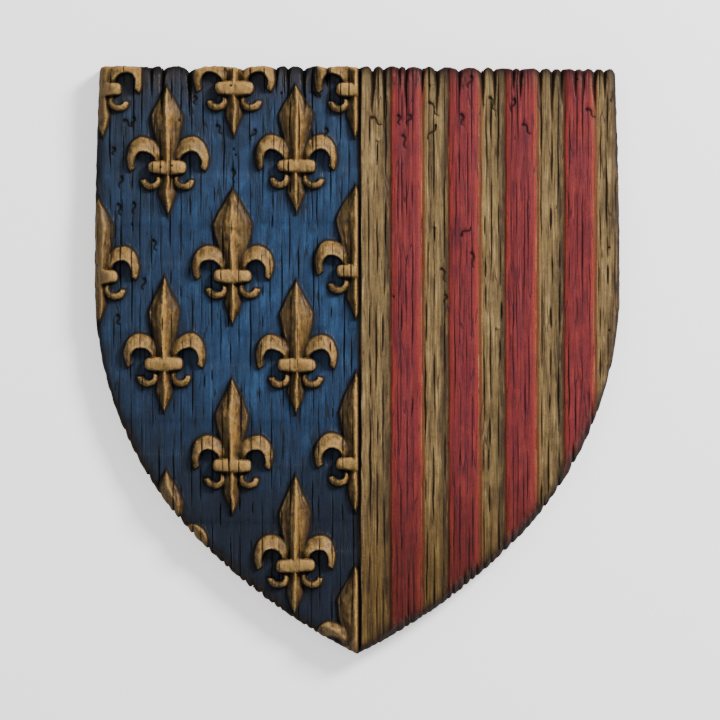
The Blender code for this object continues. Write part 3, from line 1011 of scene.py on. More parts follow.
@dataclass
class Worms:
    """Worm tracks, pinholes, and the beads that air bubbles in the mould left on the cast."""

    hole_radius: float = 0.0013
    tail_radius: float = 0.00082
    depth: float = 0.0011
    bead_radius: float = 0.0015
    tail_discs: int = 16

    def disc(self, canvas: Canvas, x: float, y: float, radius: float, depth: float) -> None:
        """Presses a round dent.

        Args:
            canvas: The grid that is carved.
            x: Its middle across.
            y: And along.
            radius: Its radius.
            depth: Its depth.
        """
        here, off = canvas.around(x, y, radius)
        keep_most(self.dents, here, depth * (1 - smooth(off, 0.25, 1.10)))
        keep_most(canvas.crack, here, np.clip(1.5 - off, -1, 1))

    def carve(self, canvas: Canvas) -> None:
        """Carves the tracks and the pinholes, and raises the beads.

        Args:
            canvas: The grid that is carved.
        """
        self.dents = np.zeros_like(canvas.height)
        for track in TRACKS:
            heading = math.radians(track.heading)
            ahead = (math.cos(heading), math.sin(heading))
            self.disc(canvas, track.x, track.y, self.hole_radius, self.depth)
            for i in range(self.tail_discs):
                share = i / (self.tail_discs - 1)
                forward = track.length * share
                sideways = track.bend * math.sin(2 * math.pi * share)
                px = track.x + ahead[0] * forward - ahead[1] * sideways
                py = track.y + ahead[1] * forward + ahead[0] * sideways
                radius = self.tail_radius * (1.15 - 0.55 * share)
                self.disc(canvas, px, py, radius, self.depth * (0.75 - 0.4 * share))
        for x, y in PINHOLES:
            self.disc(canvas, x, y, self.tail_radius * 1.1, self.depth)
        canvas.height -= self.dents
        for x, y in BEADS:
            here, off = canvas.around(x, y, self.bead_radius)
            canvas.height[here] += 0.9 * self.bead_radius * np.sqrt(np.clip(1 - off**2, 0, 1))


@dataclass
class Rim:
    """The edge, rolled over from the face to the upright wall."""

    wall_height: float = 0.013
    highest: float = 0.030
    roll_width: float = 0.018
    top_share: float = 0.25
    blend: float = 0.0009
    corner: float = 0.002
    waves: Grain = Grain(200, 0.007, 0.009, most=0.0007)
    ripples: Grain = Grain(201, 0.0028, 0.020, most=0.0004)

    def carve(self, canvas: Canvas) -> None:
        """Keeps all that is carved under the rolled edge.

        Args:
            canvas: The grid that is carved.
        """
        uneven = self.waves.at(canvas.x, canvas.y) + self.ripples.at(canvas.x, canvas.y)
        sides = np.maximum(canvas.outline.side_distance(canvas.x, canvas.y), 0.0)
        inward = soft_least(sides, canvas.below_top / self.top_share, self.corner)
        inward = np.maximum(inward + uneven * smooth(inward, 0.0, self.corner), 0.0)
        dome = self.wall_height + (self.highest - self.wall_height) * np.sqrt(inward / self.roll_width)
        canvas.height = soft_least(canvas.height, dome, self.blend)
        canvas.height = np.where(canvas.inside > 0, canvas.height, self.wall_height)


@dataclass
class CarvedShield:
    """The whole cast as one closed mesh: the carved front, the walls and the flat back."""

    name: str = "carved_shield"
    outline: Outline = field(default_factory=Outline)
    board: Board = field(default_factory=Board)
    triangles: int = 192000
    wall_rows: tuple[float, ...] = (0.0096, 0.0058, 0.0022, 0.0)
    back_inset: float = 0.990
    weld: float = 0.00008
    crease: float = math.radians(65)
    fine_blur: float = 0.0018
    broad_blur: float = 0.0060
    # the lamp's direction across the face, for the painted shade and painted light on the lilies' slopes
    light_from: Pair = (0.85, 0.5)
    far: float = 40.0  # in millimetres, beyond which the pales' distances aren't kept

    def carve(self) -> Canvas:
        """Works the relief.

        Returns:
            The carved grid.
        """
        canvas = Canvas(self.outline)
        cracks = Cracks(self.board, self.outline)
        self.board.carve(canvas)
        cracks.carve_flutes(canvas)
        Lilies(self.outline).carve(canvas)
        cracks.carve(canvas)
        Worms().carve(canvas)
        Rim().carve(canvas)
        return canvas

    def snapped(self, canvas: Canvas, x: Array, y: Array) -> tuple[Array, Array, Array]:
        """Draws the points just outside the outline in to it.

        Args:
            canvas: The carved grid.
            x: The points' places across.
            y: And along.

        Returns:
            The new places across and along, and which points are outside.
        """
        slope_y, slope_x = np.gradient(canvas.inside, canvas.along, canvas.across)
        outside = canvas.read(canvas.inside, x, y) < 0
        near = outside & (canvas.read(canvas.inside, x, y) > -2.5 * canvas.step_y)
        for _ in range(3):
            inside = canvas.read(canvas.inside, x[near], y[near])
            nx = canvas.read(slope_x, x[near], y[near])
            ny = canvas.read(slope_y, x[near], y[near])
            length = np.maximum(nx * nx + ny * ny, 0.25)
            x[near] -= inside * nx / length
            y[near] -= inside * ny / length
        return x, y, outside

    def front(self, canvas: Canvas) -> bpy.types.Object:
        """Makes the front from a grid primitive.

        Args:
            canvas: The carved grid.

        Returns:
            The front, open at the outline.
        """
        columns = len(canvas.across) - 1
        rows = len(canvas.along) - 1
        bpy.ops.object.select_all(action="DESELECT")
        bpy.ops.mesh.primitive_grid_add(x_subdivisions=columns, y_subdivisions=rows, size=2.0)
        shield = bpy.context.object
        shield.name = self.name
        mesh = shield.data
        mesh.name = self.name
        points = points_of(mesh)
        x = points[:, 0] * canvas.across[-1]
        y = points[:, 1] * canvas.along[-1]
        height = canvas.read(canvas.height, x, y)
        x, y, outside = self.snapped(canvas, x, y)
        height[outside] = Rim.wall_height
        mesh.vertices.foreach_set("co", np.column_stack((x, y, height)).ravel())
        corners = np.empty(len(mesh.polygons) * 4, dtype=np.int32)
        mesh.loops.foreach_get("vertex_index", corners)
        dropped = outside[corners.reshape(-1, 4)].all(axis=1)
        bpy.context.tool_settings.mesh_select_mode = (False, False, True)
        mesh.vertices.foreach_set("select", np.zeros(len(mesh.vertices), dtype=bool))
        mesh.edges.foreach_set("select", np.zeros(len(mesh.edges), dtype=bool))
        mesh.polygons.foreach_set("select", dropped)
        bpy.ops.object.mode_set(mode="EDIT")
        bpy.ops.mesh.delete(type="FACE")
        bpy.ops.mesh.select_all(action="SELECT")
        bpy.ops.mesh.remove_doubles(threshold=self.weld)
        bpy.ops.object.mode_set(mode="OBJECT")
        return shield

    def close(self) -> None:
        """Draws the front's edge down to the back in rows, and closes the back."""
        bpy.ops.object.mode_set(mode="EDIT")
        bpy.ops.mesh.select_mode(type="EDGE")
        bpy.ops.mesh.select_all(action="DESELECT")
        bpy.ops.mesh.select_non_manifold(
            extend=False, use_wire=False, use_boundary=True, use_multi_face=False,
            use_non_contiguous=False, use_verts=False,
        )
        for level in self.wall_rows:
            bpy.ops.mesh.extrude_edges_indiv()
            bpy.ops.transform.resize(value=(1.0, 1.0, 0.0), center_override=(0.0, 0.0, level))
        bpy.ops.mesh.extrude_edges_indiv()
        inset = self.back_inset
        bpy.ops.transform.resize(value=(inset, inset, 1.0), center_override=(0.0, 0.0, 0.0))
        bpy.ops.mesh.edge_face_add()
        bpy.ops.mesh.select_all(action="SELECT")
        bpy.ops.mesh.normals_make_consistent(inside=False)
        bpy.ops.object.mode_set(mode="OBJECT")

    def thin(self, shield: bpy.types.Object) -> None:
        """Spends the triangles where the carving bends.

        Args:
            shield: The closed mesh.
        """
        count = sum(len(face.vertices) - 2 for face in shield.data.polygons)
        bpy.ops.object.modifier_add(type="DECIMATE")
        modifier = shield.modifiers[-1]
        modifier.ratio = self.triangles / count
        bpy.ops.object.modifier_apply(modifier=modifier.name)
        bpy.ops.object.shade_smooth_by_angle(angle=self.crease)

    def masks(self, canvas: Canvas, shield: bpy.types.Object) -> None:
        """Keeps what the paint has to know with the mesh, distances in millimetres.

        Args:
            canvas: The carved grid.
            shield: The mesh.
        """
        mesh = shield.data
        x, y, z = points_of(mesh).T
        near, wide = (
            blurred(canvas.height, round(size / canvas.step_x), round(size / canvas.step_y))
            for size in (self.fine_blur, self.broad_blur)
        )
        fine = canvas.height - near
        broad = wide - canvas.height
        front = z > Rim.wall_height - 0.0012
        # how far each slope turns away from the lamp: painted shade on the lilies' far slopes, painted light
        # on the near ones
        slope_y, slope_x = np.gradient(blurred(canvas.height, 1, 1), canvas.along, canvas.across)
        lee = self.light_from[0] * slope_x + self.light_from[1] * slope_y
        wander = self.board.wandering(x, y)
        maps = {
            "lily": canvas.read(canvas.lily, x, y) / MM,
            # the lilies' heights, for their painted shade low down and their painted highlight high up
            "gild": canvas.read(canvas.gild, x, y) / MM,
            "raised": canvas.read(fine, x, y) / MM,
            # how far a point lies below its broad surroundings, for painted shade in the field's hollows
            "hollow": np.where(front, canvas.read(broad, x, y) / MM, 0.0),
            "lee": canvas.read(lee, x, y),
            "crack": canvas.read(canvas.crack, x, y),
            "rim": np.where(front, canvas.read(canvas.inside, x, y) / MM, 0.0),
            "red": self.board.into_red(wander) / MM,
            "to_red": np.minimum(self.board.to_red(wander) / MM, self.far),
            "past_red": np.minimum(self.board.past_red(wander) / MM, self.far),
        }
        for name, values in maps.items():
            attribute = mesh.attributes.new(name, "FLOAT", "POINT")
            attribute.data.foreach_set("value", values.astype(np.float32))

    def keep_in_box(self, shield: bpy.types.Object) -> None:
        """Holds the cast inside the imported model's box.

        Args:
            shield: The mesh.
        """
        mesh = shield.data
        low, high = (np.array(corner) for corner in CAD_BOX)
        mesh.vertices.foreach_set("co", np.clip(points_of(mesh), low, high).ravel())
        mesh.update()

    def build(self) -> bpy.types.Object:
        """Makes the cast.

        Returns:
            The finished piece, not yet painted.
        """
        canvas = self.carve()
        shield = self.front(canvas)
        self.close()
        self.thin(shield)
        self.keep_in_box(shield)
        self.masks(canvas, shield)
        return shield


def linear(red: float, green: float, blue: float) -> tuple[float, float, float, float]:
    """Turns a colour as seen on a screen into the renderer's own.

    Args:
        red: The red channel, 0 to 255.
        green: The green one.
        blue: And the blue one.

    Returns:
        The linear channels, and an opacity of 1.
    """
    shares = (value / 255 for value in (red, green, blue))
    channels = (s / 12.92 if s < 0.04045 else ((s + 0.055) / 1.055) ** 2.4 for s in shares)
    return (*channels, 1.0)


class Blend(Enum):
    """How a glaze meets the colour under it."""

    OVER = "MIX"
    DARKEN = "MULTIPLY"
    LIGHTEN = "SCREEN"


@dataclass(frozen=True)
class Pattern:
    """Noise around 0.5, whose lumps have a real size."""

    across: float  # the lumps' size across the grain and in depth
    along: float  # and along it
    detail: float = 3.0  # how many finer layers there are
    roughness: float = 0.6  # how strong those are
    shift: float = 0.0  # moves the pattern, so that two of one size differ


@dataclass(frozen=True)
class Coat:
    """One brushed colour in a dark, a middle and a light tone that streaks and mottles mix; the gilt's dark
    tone is also the painted shade on the lilies' low parts and its light tone their painted highlight.
    """

    dark: Colour
    middle: Colour
    light: Colour
    crack: Colour
    streaked: float  # the share of its changes that runs along the grain
    contrast: float = 0.75
    darkens: Pair = (0.52, 0.36)
    lightens: Pair = (0.50, 0.66)


@dataclass(frozen=True)
class Glaze:
    """A thin colour that comes in as its mask goes from one value to another."""

    tint: Colour
    start: float  # the mask's value at which it begins
    full: float  # and the one at which it has its full strength
    strength: float = 1.0
    blend: Blend = Blend.OVER


class Nodes:
    """A material's node tree, put together a step at a time."""

    def __init__(self, name: str) -> None:
        """Starts a material with an empty shader.

        Args:
            name: The material's name.
        """
        self.material = bpy.data.materials.new(name)
        self.material.use_nodes = True
        self.tree = self.material.node_tree
        self.shader = self.tree.nodes["Principled BSDF"]
        self.place = self.add("ShaderNodeTexCoord").outputs["Object"]

    def add(self, kind: str, **settings: object) -> bpy.types.Node:
        """Adds a node.

        Args:
            kind: Its type.
            **settings: The values of its properties.

        Returns:
            The node.
        """
        node = self.tree.nodes.new(kind)
        for name, value in settings.items():
            setattr(node, name, value)
        return node

    def feed(self, socket: Socket, source: object) -> None:
        """Links a socket to another one, or sets its value.

        Args:
            socket: The socket that is fed.
            source: The other one, or the value.
        """
        if isinstance(source, Socket):
            self.tree.links.new(source, socket)
        else:
            socket.default_value = source

    def math(self, operation: str, one: object, other: object = 0.0, clamp: bool = False) -> Socket:
        """Adds a calculation with two sockets or values.

        Args:
            operation: What is done with them.
            one: The first.
            other: The second.
            clamp: Whether the result is held between 0 and 1.

        Returns:
            The result.
        """
        node = self.add("ShaderNodeMath", operation=operation, use_clamp=clamp)
        self.feed(node.inputs[0], one)
        self.feed(node.inputs[1], other)
        return node.outputs[0]

    def times(self, one: object, *others: object) -> Socket:
        """Multiplies sockets and values.

        Args:
            one: The first.
            *others: The rest.

        Returns:
            The product.
        """
        for other in others:
            one = self.math("MULTIPLY", one, other)
        return one

    def plus(self, one: object, other: object) -> Socket:
        """Adds two sockets or values."""
        return self.math("ADD", one, other)

    def frayed(self, value: Socket, noise: Socket, by: float) -> Socket:
        """Makes a mask's edge wander with noise, by up to half of a distance each way."""
        return self.plus(value, self.times(self.math("SUBTRACT", noise, 0.5), by))

    def step(self, value: object, start: float, full: float) -> Socket:
        """Adds a soft step.

        Args:
            value: What it follows.
            start: Where it is 0.
            full: Where it is 1, above or below the start.

        Returns:
            The step.
        """
        node = self.add("ShaderNodeMapRange", interpolation_type="SMOOTHSTEP")
        self.feed(node.inputs["Value"], value)
        node.inputs["From Min"].default_value = min(start, full)
        node.inputs["From Max"].default_value = max(start, full)
        node.inputs["To Min"].default_value = 0.0 if start < full else 1.0
        node.inputs["To Max"].default_value = 1.0 if start < full else 0.0
        return node.outputs["Result"]

    def mix(self, share: object, one: object, other: object, blend: Blend = Blend.OVER) -> Socket:
        """Adds a mix of two colours.

        Args:
            share: How much of the second there is.
            one: The first.
            other: The second.
            blend: How they meet.

        Returns:
            The mixed colour.
        """
        node = self.add("ShaderNodeMix", data_type="RGBA", blend_type=blend.value)
        self.feed(node.inputs[0], share)
        self.feed(node.inputs[6], one)
        self.feed(node.inputs[7], other)
        return node.outputs[2]

    def glaze(self, colour: Socket, glaze: Glaze, mask: Socket, *limits: Socket) -> Socket:
        """Lays a glaze over a colour.

        Args:
            colour: What is under it.
            glaze: The glaze.
            mask: What the glaze follows.
            *limits: What else holds it back. Only the last one may pass 1.

        Returns:
            The colour with its glaze.
        """
        share = self.step(mask, glaze.start, glaze.full)
        for limit in limits:
            share = self.math("MULTIPLY", share, limit, clamp=True)
        return self.mix(self.times(share, glaze.strength), colour, linear(*glaze.tint), glaze.blend)

    def mask(self, name: str) -> Socket:
        """Reads one of the mesh's masks."""
        return self.add("ShaderNodeAttribute", attribute_name=name).outputs["Fac"]

    def noise(self, pattern: Pattern) -> Socket:
        """Adds noise.

        Args:
            pattern: What it is like.

        Returns:
            The noise.
        """
        mapping = self.add("ShaderNodeMapping")
        self.feed(mapping.inputs["Vector"], self.place)
        mapping.inputs["Location"].default_value = (pattern.shift, pattern.shift * 0.7, 0.0)
        mapping.inputs["Scale"].default_value = (1 / pattern.across, 1 / pattern.along, 1 / pattern.across)
        texture = self.add("ShaderNodeTexNoise")
        self.feed(texture.inputs["Vector"], mapping.outputs["Vector"])
        texture.inputs["Scale"].default_value = 1.0
        texture.inputs["Detail"].default_value = pattern.detail
        texture.inputs["Roughness"].default_value = pattern.roughness
        return texture.outputs["Fac"]


class PaintedCast(Nodes):
    """The hand-painted finish of the whole cast.

    A glaze follows a mask in millimetres, a place or a height in metres, or noise, as its method says.
    """

    blue: Coat = Coat((19, 36, 57), (26, 52, 83), (41, 76, 112), crack=(9, 10, 11), streaked=0.35)
    ochre: Coat = Coat((56, 42, 25), (111, 90, 55), (164, 138, 91), crack=(36, 25, 15), streaked=0.65)
    red: Coat = Coat((74, 24, 36), (108, 35, 37), (135, 50, 46), crack=(40, 14, 18), streaked=0.6)
    # the gilt's dark tone is painted shade on the lilies' low parts, its light tone a painted highlight on
    # their high parts
    gilt: Coat = Coat((42, 29, 14), (90, 67, 32), (152, 117, 64), crack=(26, 17, 9), streaked=0.6)
    umber: Colour = (60, 45, 28)
    orange: Colour = (96, 42, 20)
    hair_on_blue: Colour = (14, 17, 22)
    hair_on_ochre: Colour = (50, 32, 22)
    hair_on_red: Colour = (52, 14, 24)
    hair_strength: float = 0.75
    hairs: tuple[tuple[Pattern, float, Pair], ...] = (
        (Pattern(0.0050, 0.120, 1.5, 0.4, shift=12.4), 0.50, (0.016, 0.004)),
        (Pattern(0.0080, 0.150, 1.5, 0.4, shift=17.9), 0.46, (0.011, 0.003)),
    )
    bare: Colour = (150, 140, 120)
    soiled: Colour = (118, 106, 86)

    # painted shade on the field round the lilies, partly the real dark wash there
    lily_shade_halo: Glaze = Glaze((11, 14, 19), -3.6, -0.2, 0.5)
    # painted shade: the field darker towards its left edge and its bottom, away from the lamp
    left_field_shade: Glaze = Glaze((18, 22, 28), -0.080, -0.190, 0.52)
    low_field_shade: Glaze = Glaze((12, 17, 28), 0.005, -0.130, 0.90)
    high_field: Glaze = Glaze((30, 31, 32), 0.110, 0.180, 0.30)
    field_top: Glaze = Glaze((44, 34, 24), 0.188, 0.226, 0.72)

    # painted shadow of each raised red pale on the gold to its left, away from the lamp
    shadow_before_red: Glaze = Glaze((38, 28, 20), 9.5, 1.0, 0.85)
    smudge: Pattern = Pattern(across=0.0034, along=0.030, shift=25.1)
    least_smudge: float = 0.45
    straw: Glaze = Glaze((126, 97, 53), 5.5, 3.0, 0.45)
    border: Glaze = Glaze(orange, 3.4, 2.2, 0.9)
    thin_border: Glaze = Glaze(orange, 1.6, 0.9, 0.7)
    flame: Glaze = Glaze((132, 33, 22), 4.5, 0.8, 0.65)
    # painted shade: the pales darker towards the bottom, away from the lamp
    low_pales_shade: Glaze = Glaze((198, 186, 150), -0.040, -0.190, blend=Blend.DARKEN)
    pales_top: Glaze = Glaze((36, 24, 16), 0.200, 0.228, 0.65)

    blotch: Pattern = Pattern(across=0.0040, along=0.0060, detail=4.0, roughness=0.65, shift=8.2)
    # the heights over which the lilies go from painted shade on their low parts to the middle gilt; then a
    # painted highlight high up
    gilt_shade_heights: Pair = (1.2, 5.2)
    gilt_highlight: Glaze = Glaze(gilt.light, 4.4, 8.8, 0.75)
    worn: Glaze = Glaze(gilt.dark, 0.50, 0.36, 0.7)
    stroke: Glaze = Glaze(gilt.dark, 0.47, 0.36, 0.42)
    pale: Glaze = Glaze((160, 130, 78), 0.50, 0.66, 0.55)
    olive: Glaze = Glaze((84, 72, 36), 0.46, 0.62, 0.34)
    # paler gilt along the crests: partly the real dry brushing, partly a painted highlight
    crest: Glaze = Glaze(gilt.light, 0.15, 0.8, 0.6)

    # painted shade on the lilies' walls and at their feet, partly the real dark wash
    foot_shade: Glaze = Glaze((24, 18, 12), 1.3, 0.3, 0.66)
    # painted shade in the field's hollows, partly the real dark wash
    wash: Glaze = Glaze((14, 13, 12), 0.4, 2.4, 0.42)
    # painted shade on the lilies' slopes that turn away from the lamp
    lee: Glaze = Glaze((27, 25, 22), 0.1, 0.9, 0.5)
    # a warm painted light on the lilies' slopes that face the lamp
    sunny: Glaze = Glaze((255, 241, 206), 0.05, -0.45, 0.85, Blend.DARKEN)
    # dark wash along the rim, and painted shade where the edge rolls away from the light
    rim_shade: Glaze = Glaze((128, 110, 98), 10.0, 0.0, blend=Blend.DARKEN)
    rim_dark: Glaze = Glaze((32, 21, 13), 3.0, -0.4)
    rim_covers: float = 0.92
    lily_spared: float = 0.78
    stained: Pair = (-0.75, 0.1)
    stain_strength: float = 0.28
    cracked: Pair = (0.05, 0.75)
    crack_strength: float = 0.9
    pits: Glaze = Glaze((24, 19, 14), 0.36, 0.26, 0.5)
    dusty: Glaze = Glaze((92, 88, 84), 0.56, 0.34, 0.24, Blend.DARKEN)
    # paler paint on the ridges: partly the real dry brushing, partly a painted highlight
    brushed: Glaze = Glaze((214, 190, 140), 0.12, 0.75, 0.08, Blend.LIGHTEN)
    side: Glaze = Glaze((34, 24, 16), 0.0126, 0.0080, 0.82)

    specular: float = 0.2
    bump_strength: float = 0.6
    bump_distance: float = 0.0005

    def __init__(self) -> None:
        """Starts the tree, with the places, the noises and the masks that the coats share."""
        super().__init__("painted_cast")
        split = self.add("ShaderNodeSeparateXYZ")
        self.feed(split.inputs[0], self.place)
        self.x, self.y, self.z = split.outputs
        self.streaks = self.noise(Pattern(across=0.0016, along=0.040, detail=4.0, roughness=0.62))
        self.fine = self.noise(Pattern(across=0.0007, along=0.009, shift=3.1))
        self.mottle = self.noise(Pattern(across=0.011, along=0.022, detail=4.0, shift=1.7))
        self.speck = self.noise(Pattern(across=0.0011, along=0.0014, shift=5.3))
        self.lily = self.frayed(self.mask("lily"), self.speck, 0.9)
        self.on_lily = self.step(self.lily, *EDGE)
        self.off_lily_edge = self.math("ABSOLUTE", self.lily)
        self.on_red = self.step(self.mask("red"), -0.2, 0.2)
        self.half = self.step(self.x, 0.0026, 0.0034)
        self.raised = self.times(self.mask("raised"), self.step(self.off_lily_edge, 0.3, 1.8))

    def paint(self) -> bpy.types.Material:
        """Makes the paint.

        Returns:
            The material of the whole cast.
        """
        ground = self.mix(self.half, self.field_colour(), self.pales())
        groove = self.times(self.step(self.x, 0.0004, 0.0012), self.step(self.x, 0.0033, 0.0024))
        ground = self.mix(groove, ground, linear(*self.umber))
        hair = self.hairlines()
        ground = self.mix(self.times(hair, self.hair_strength), ground, self.hair_colour())
        colour = self.mix(self.on_lily, ground, self.lilies())
        for layer in (self.washed_and_shaded, self.rimmed, self.cracked_and_pitted, self.backed):
            colour = layer(colour)
        self.feed(self.shader.inputs["Base Color"], colour)
        self.feed(self.shader.inputs["Roughness"], self.roughness())
        self.shader.inputs["Specular IOR Level"].default_value = self.specular
        self.bump(hair)
        return self.material

    def coat(self, coat: Coat) -> Socket:
        """Brushes one colour on, darker and lighter by streaks along the grain.

        Args:
            coat: The colour.

        Returns:
            The brushed colour.
        """
        along = self.times(self.streaks, coat.streaked)
        blend = self.plus(along, self.times(self.mottle, 1.0 - coat.streaked))
        dark = self.times(self.step(blend, *coat.darkens), coat.contrast)
        light = self.times(self.step(blend, *coat.lightens), coat.contrast)
        colour = self.mix(dark, linear(*coat.middle), linear(*coat.dark))
        return self.mix(light, colour, linear(*coat.light))

    def field_colour(self) -> Socket:
        """The blue field, with painted shade around the lilies (partly the real dark wash), painted shade
        towards its left edge and its bottom, and a brown wash along the top.

        Returns:
            The field's colour.
        """
        colour = self.coat(self.blue)
        colour = self.glaze(colour, self.lily_shade_halo, self.lily, self.step(self.mottle, 0.15, 0.60))
        colour = self.glaze(colour, self.left_field_shade, self.x)
        colour = self.glaze(colour, self.low_field_shade, self.y)
        colour = self.glaze(colour, self.high_field, self.y)
        return self.glaze(colour, self.field_top, self.y, self.step(self.mottle, 0.25, 0.55))

    def pales(self) -> Socket:
        """The gold ground and the red pales, with a painted shadow on the gold left of each red pale,
        glowing orange edges, and painted shade towards the bottom.

        Returns:
            Their colour.
        """
        red = self.frayed(self.mask("red"), self.speck, 0.8)
        to_red = self.frayed(self.mask("to_red"), self.speck, 2.4)
        past_red = self.frayed(self.mask("past_red"), self.speck, 0.8)
        gold = self.coat(self.ochre)
        smudged = self.plus(self.step(self.noise(self.smudge), 0.36, 0.60), self.least_smudge)
        # painted shadow left of each red pale, broken up by smudges
        gold = self.glaze(gold, self.shadow_before_red, to_red, self.step(self.streaks, 0.28, 0.56), smudged)
        gold = self.glaze(gold, self.straw, past_red)
        gold = self.glaze(gold, self.border, past_red, self.step(self.streaks, 0.1, 0.45))
        gold = self.glaze(gold, self.thin_border, to_red)
        reds = self.coat(self.red)
        reds = self.glaze(reds, self.flame, red, self.step(self.streaks, 0.25, 0.6))
        colour = self.mix(self.step(red, *EDGE), gold, reds)
        colour = self.glaze(colour, self.low_pales_shade, self.y)
        return self.glaze(colour, self.pales_top, self.y, self.step(self.mottle, 0.3, 0.6))

    def lilies(self) -> Socket:
        """The lilies: painted shade on their low parts, dull gold on their faces, a painted highlight on
        their high parts, and paler along their crests, partly dry brushing and partly a painted highlight.

        Returns:
            Their colour.
        """
        blotch = self.noise(self.blotch)
        gild = self.frayed(self.mask("gild"), self.streaks, 5.0)
        # painted shade on the lilies' low parts, then a painted highlight on their high parts
        colour = self.mix(self.step(gild, *self.gilt_shade_heights), linear(*self.gilt.dark), linear(*self.gilt.middle))
        colour = self.glaze(colour, self.gilt_highlight, gild)
        colour = self.glaze(colour, self.worn, blotch, self.step(gild, 10.5, 4.0))
        colour = self.glaze(colour, self.stroke, self.streaks)
        colour = self.glaze(colour, self.pale, blotch, self.step(gild, 3.0, 7.0))
        colour = self.glaze(colour, self.olive, self.mottle)
        return self.glaze(colour, self.crest, self.raised, self.step(self.speck, 0.3, 0.55))

    def hairlines(self) -> Socket:
        """Thin lines along the grain, too fine for the mesh, which come and go.

        Returns:
            Where they are.
        """
        lines = []
        for pattern, middle, width in self.hairs:
            off = self.math("ABSOLUTE", self.math("SUBTRACT", self.noise(pattern), middle))
            lines.append(self.step(off, *width))
        spots = self.noise(Pattern(across=0.0060, along=0.026, detail=2.0, roughness=0.5, shift=14.1))
        return self.times(self.math("MAXIMUM", *lines), self.step(spots, 0.42, 0.54))

    def hair_colour(self) -> Socket:
        """The colour of the hairlines on each ground."""
        tone = self.mix(self.half, linear(*self.hair_on_blue), linear(*self.hair_on_ochre))
        return self.mix(self.times(self.half, self.on_red), tone, linear(*self.hair_on_red))

    def crack_colour(self) -> Socket:
        """The wash in the cracks: nearly black in the blue, brown in the gold and dark plum in the reds.

        Returns:
            Its colour.
        """
        warm = self.mix(self.on_red, linear(*self.ochre.crack), linear(*self.red.crack))
        on_gilt = self.step(self.mask("lily"), *EDGE)
        cold = self.mix(on_gilt, linear(*self.blue.crack), linear(*self.gilt.crack))
        return self.mix(self.step(self.x, 0.0018, 0.0024), cold, warm)

    def washed_and_shaded(self, colour: Socket) -> Socket:
        """Painted shade at the lilies' feet and in the field's hollows, partly the real dark wash, then
        painted shade on the lilies' slopes turned from the lamp and a warm painted light on those facing it.

        Args:
            colour: What is under them.

        Returns:
            The washed colour.
        """
        on_field = self.step(self.x, 0.004, 0.000)
        lee = self.mask("lee")
        colour = self.glaze(colour, self.foot_shade, self.off_lily_edge)
        patchy = self.step(self.mottle, 0.22, 0.55)
        colour = self.glaze(colour, self.wash, self.mask("hollow"), patchy, on_field)
        colour = self.glaze(colour, self.lee, lee, self.on_lily)
        return self.glaze(colour, self.sunny, lee, self.on_lily)

    def rimmed(self, colour: Socket) -> Socket:
        """Dark wash and painted shade along the rim, where the edge rolls away, wider towards the tip and
        thinner on the lilies.

        Args:
            colour: What is under it.

        Returns:
            The colour with its dark rim.
        """
        edge = self.frayed(self.mask("rim"), self.mottle, 6.0)
        edge = self.math("SUBTRACT", edge, self.times(self.step(self.y, 0.02, -0.11), 2.4))
        covers = self.math("SUBTRACT", self.rim_covers, self.times(self.on_lily, self.lily_spared))
        colour = self.glaze(colour, self.rim_shade, edge, covers)
        return self.glaze(colour, self.rim_dark, edge, covers)

    def cracked_and_pitted(self, colour: Socket) -> Socket:
        """Wash in the cracks and pits, a dusty film, and paler paint on the ridges, partly the real dry
        brushing and partly a painted highlight.

        Args:
            colour: What is under them.

        Returns:
            The aged colour.
        """
        deep = self.frayed(self.mask("crack"), self.fine, 0.7)
        wash = self.crack_colour()
        colour = self.mix(self.times(self.step(deep, *self.stained), self.stain_strength), colour, wash)
        colour = self.mix(self.times(self.step(deep, *self.cracked), self.crack_strength), colour, wash)
        pits = self.noise(Pattern(across=0.0009, along=0.0012, detail=2.0, roughness=0.5, shift=9.7))
        colour = self.glaze(colour, self.pits, pits)
        dust = self.noise(Pattern(across=0.0010, along=0.0016, roughness=0.7, shift=21.3))
        colour = self.glaze(colour, self.dusty, dust)
        dry = self.step(self.speck, 0.35, 0.6)
        return self.glaze(colour, self.brushed, self.raised, dry, self.step(self.mask("rim"), 4.0, 9.0))

    def backed(self, colour: Socket) -> Socket:
        """The dark side walls and the bare, soiled back.

        Args:
            colour: The front's colour.

        Returns:
            The colour of the whole cast.
        """
        height = self.frayed(self.z, self.mottle, 0.003)
        colour = self.glaze(colour, self.side, height)
        back = self.mix(self.step(self.mottle, 0.35, 0.65), linear(*self.bare), linear(*self.soiled))
        return self.mix(self.step(height, 0.0012, 0.0001), colour, back)

    def roughness(self) -> Socket:
        """The paint's roughness, duller in the cracks, at the rim and round the lilies.

        Returns:
            The roughness.
        """
        rough = self.plus(self.times(self.mottle, 0.25), 0.38)
        for mask, ramp, more in (
            (self.mask("crack"), (-0.2, 0.4), 0.5),
            (self.mask("rim"), (6.0, 1.0), 0.4),
            (self.off_lily_edge, (1.6, 0.5), 0.45),
        ):
            rough = self.math("ADD", rough, self.times(self.step(mask, *ramp), more), clamp=True)
        return rough

    def bump(self, hair: Socket) -> None:
        """Gives the paint its brush marks and its fine grain, below what the mesh can hold.

        Args:
            hair: Where the hairlines are.
        """
        total = self.plus(self.streaks, self.times(self.fine, 0.7))
        total = self.plus(total, self.times(self.speck, 0.5))
        total = self.math("SUBTRACT", total, self.times(hair, 0.6))
        bump = self.add("ShaderNodeBump")
        bump.inputs["Strength"].default_value = self.bump_strength
        bump.inputs["Distance"].default_value = self.bump_distance
        self.feed(bump.inputs["Height"], total)
        self.feed(self.shader.inputs["Normal"], bump.outputs["Normal"])


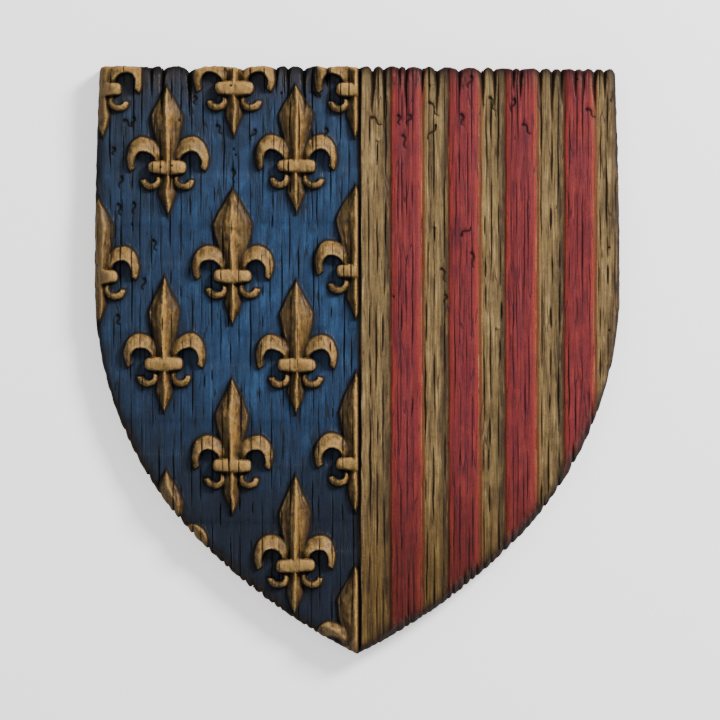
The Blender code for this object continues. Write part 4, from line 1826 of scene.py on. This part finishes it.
@dataclass(frozen=True)
class Lamp:
    """A soft square lamp that shines at the shield."""

    name: str
    place: tuple[float, float, float]
    size: float
    power: float  # in watts

    def hang(self) -> None:
        """Hangs the lamp and turns it to the shield."""
        bpy.ops.object.light_add(type="AREA", location=self.place)
        lamp = bpy.context.object
        lamp.name = self.name
        lamp.data.size = self.size
        lamp.data.energy = self.power
        x, y, z = self.place
        lamp.rotation_euler = (math.atan2(math.hypot(x, y), z), 0.0, math.atan2(x, -y))


@dataclass(frozen=True)
class Studio:
    """The floor, the light and the camera that looks straight down."""

    lens: float = 200.0
    sensor: float = 36.0
    view_width: float = 0.5577
    aim: tuple[float, float, float] = (0.0021, 0.0, 0.018)
    far_clip: float = 20.0
    floor_size: float = 6.0
    floor_drop: float = 0.0002
    floor_shade: float = 0.93
    floor_glow: float = 0.7
    sky: float = 0.55
    lamps: tuple[Lamp, ...] = (
        Lamp("key", (1.7, 1.5, 1.45), 0.7, 150.0),
        Lamp("fill", (-1.4, 0.6, 2.2), 1.8, 14.0),
    )

    def floor(self) -> None:
        """Lays a plain pale floor under the shield."""
        bpy.ops.object.select_all(action="DESELECT")
        bpy.ops.mesh.primitive_plane_add(size=self.floor_size, location=(0.0, 0.0, -self.floor_drop))
        floor = bpy.context.object
        floor.name = "floor"
        material = bpy.data.materials.new("floor")
        material.use_nodes = True
        shader = material.node_tree.nodes["Principled BSDF"]
        shader.inputs["Base Color"].default_value = (*[self.floor_shade] * 3, 1.0)
        shader.inputs["Roughness"].default_value = 0.9
        shader.inputs["Specular IOR Level"].default_value = 0.1
        shader.inputs["Emission Color"].default_value = (1.0, 1.0, 1.0, 1.0)
        shader.inputs["Emission Strength"].default_value = self.floor_glow
        floor.data.materials.append(material)

    def light(self) -> None:
        """A key light from the upper right and an even fill from all round."""
        for lamp in self.lamps:
            lamp.hang()
        world = bpy.data.worlds.new("studio")
        world.use_nodes = True
        background = world.node_tree.nodes["Background"]
        background.inputs["Color"].default_value = (1.0, 1.0, 1.0, 1.0)
        background.inputs["Strength"].default_value = self.sky
        bpy.context.scene.world = world

    def camera(self) -> None:
        """Looks straight down at the shield, with its top edge up, from far off."""
        distance = self.view_width * self.lens / self.sensor
        place = (self.aim[0], self.aim[1], self.aim[2] + distance)
        bpy.ops.object.camera_add(location=place, rotation=(0.0, 0.0, 0.0))
        camera = bpy.context.object
        camera.data.lens = self.lens
        camera.data.sensor_width = self.sensor
        camera.data.clip_end = self.far_clip
        bpy.context.scene.camera = camera


def main() -> None:
    """Builds the cast, paints it, and sets up the studio around it."""
    logging.basicConfig(level=logging.INFO, format="%(message)s")
    shield = CarvedShield().build()
    shield.data.materials.append(PaintedCast().paint())
    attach(shield, "root")
    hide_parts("shield")
    LOG.info("%s: %d faces", shield.name, len(shield.data.polygons))
    studio = Studio()
    studio.floor()
    studio.light()
    studio.camera()
    LOG.info("studio: floor, two lamps and the camera")


if __name__ == "__main__":
    main()
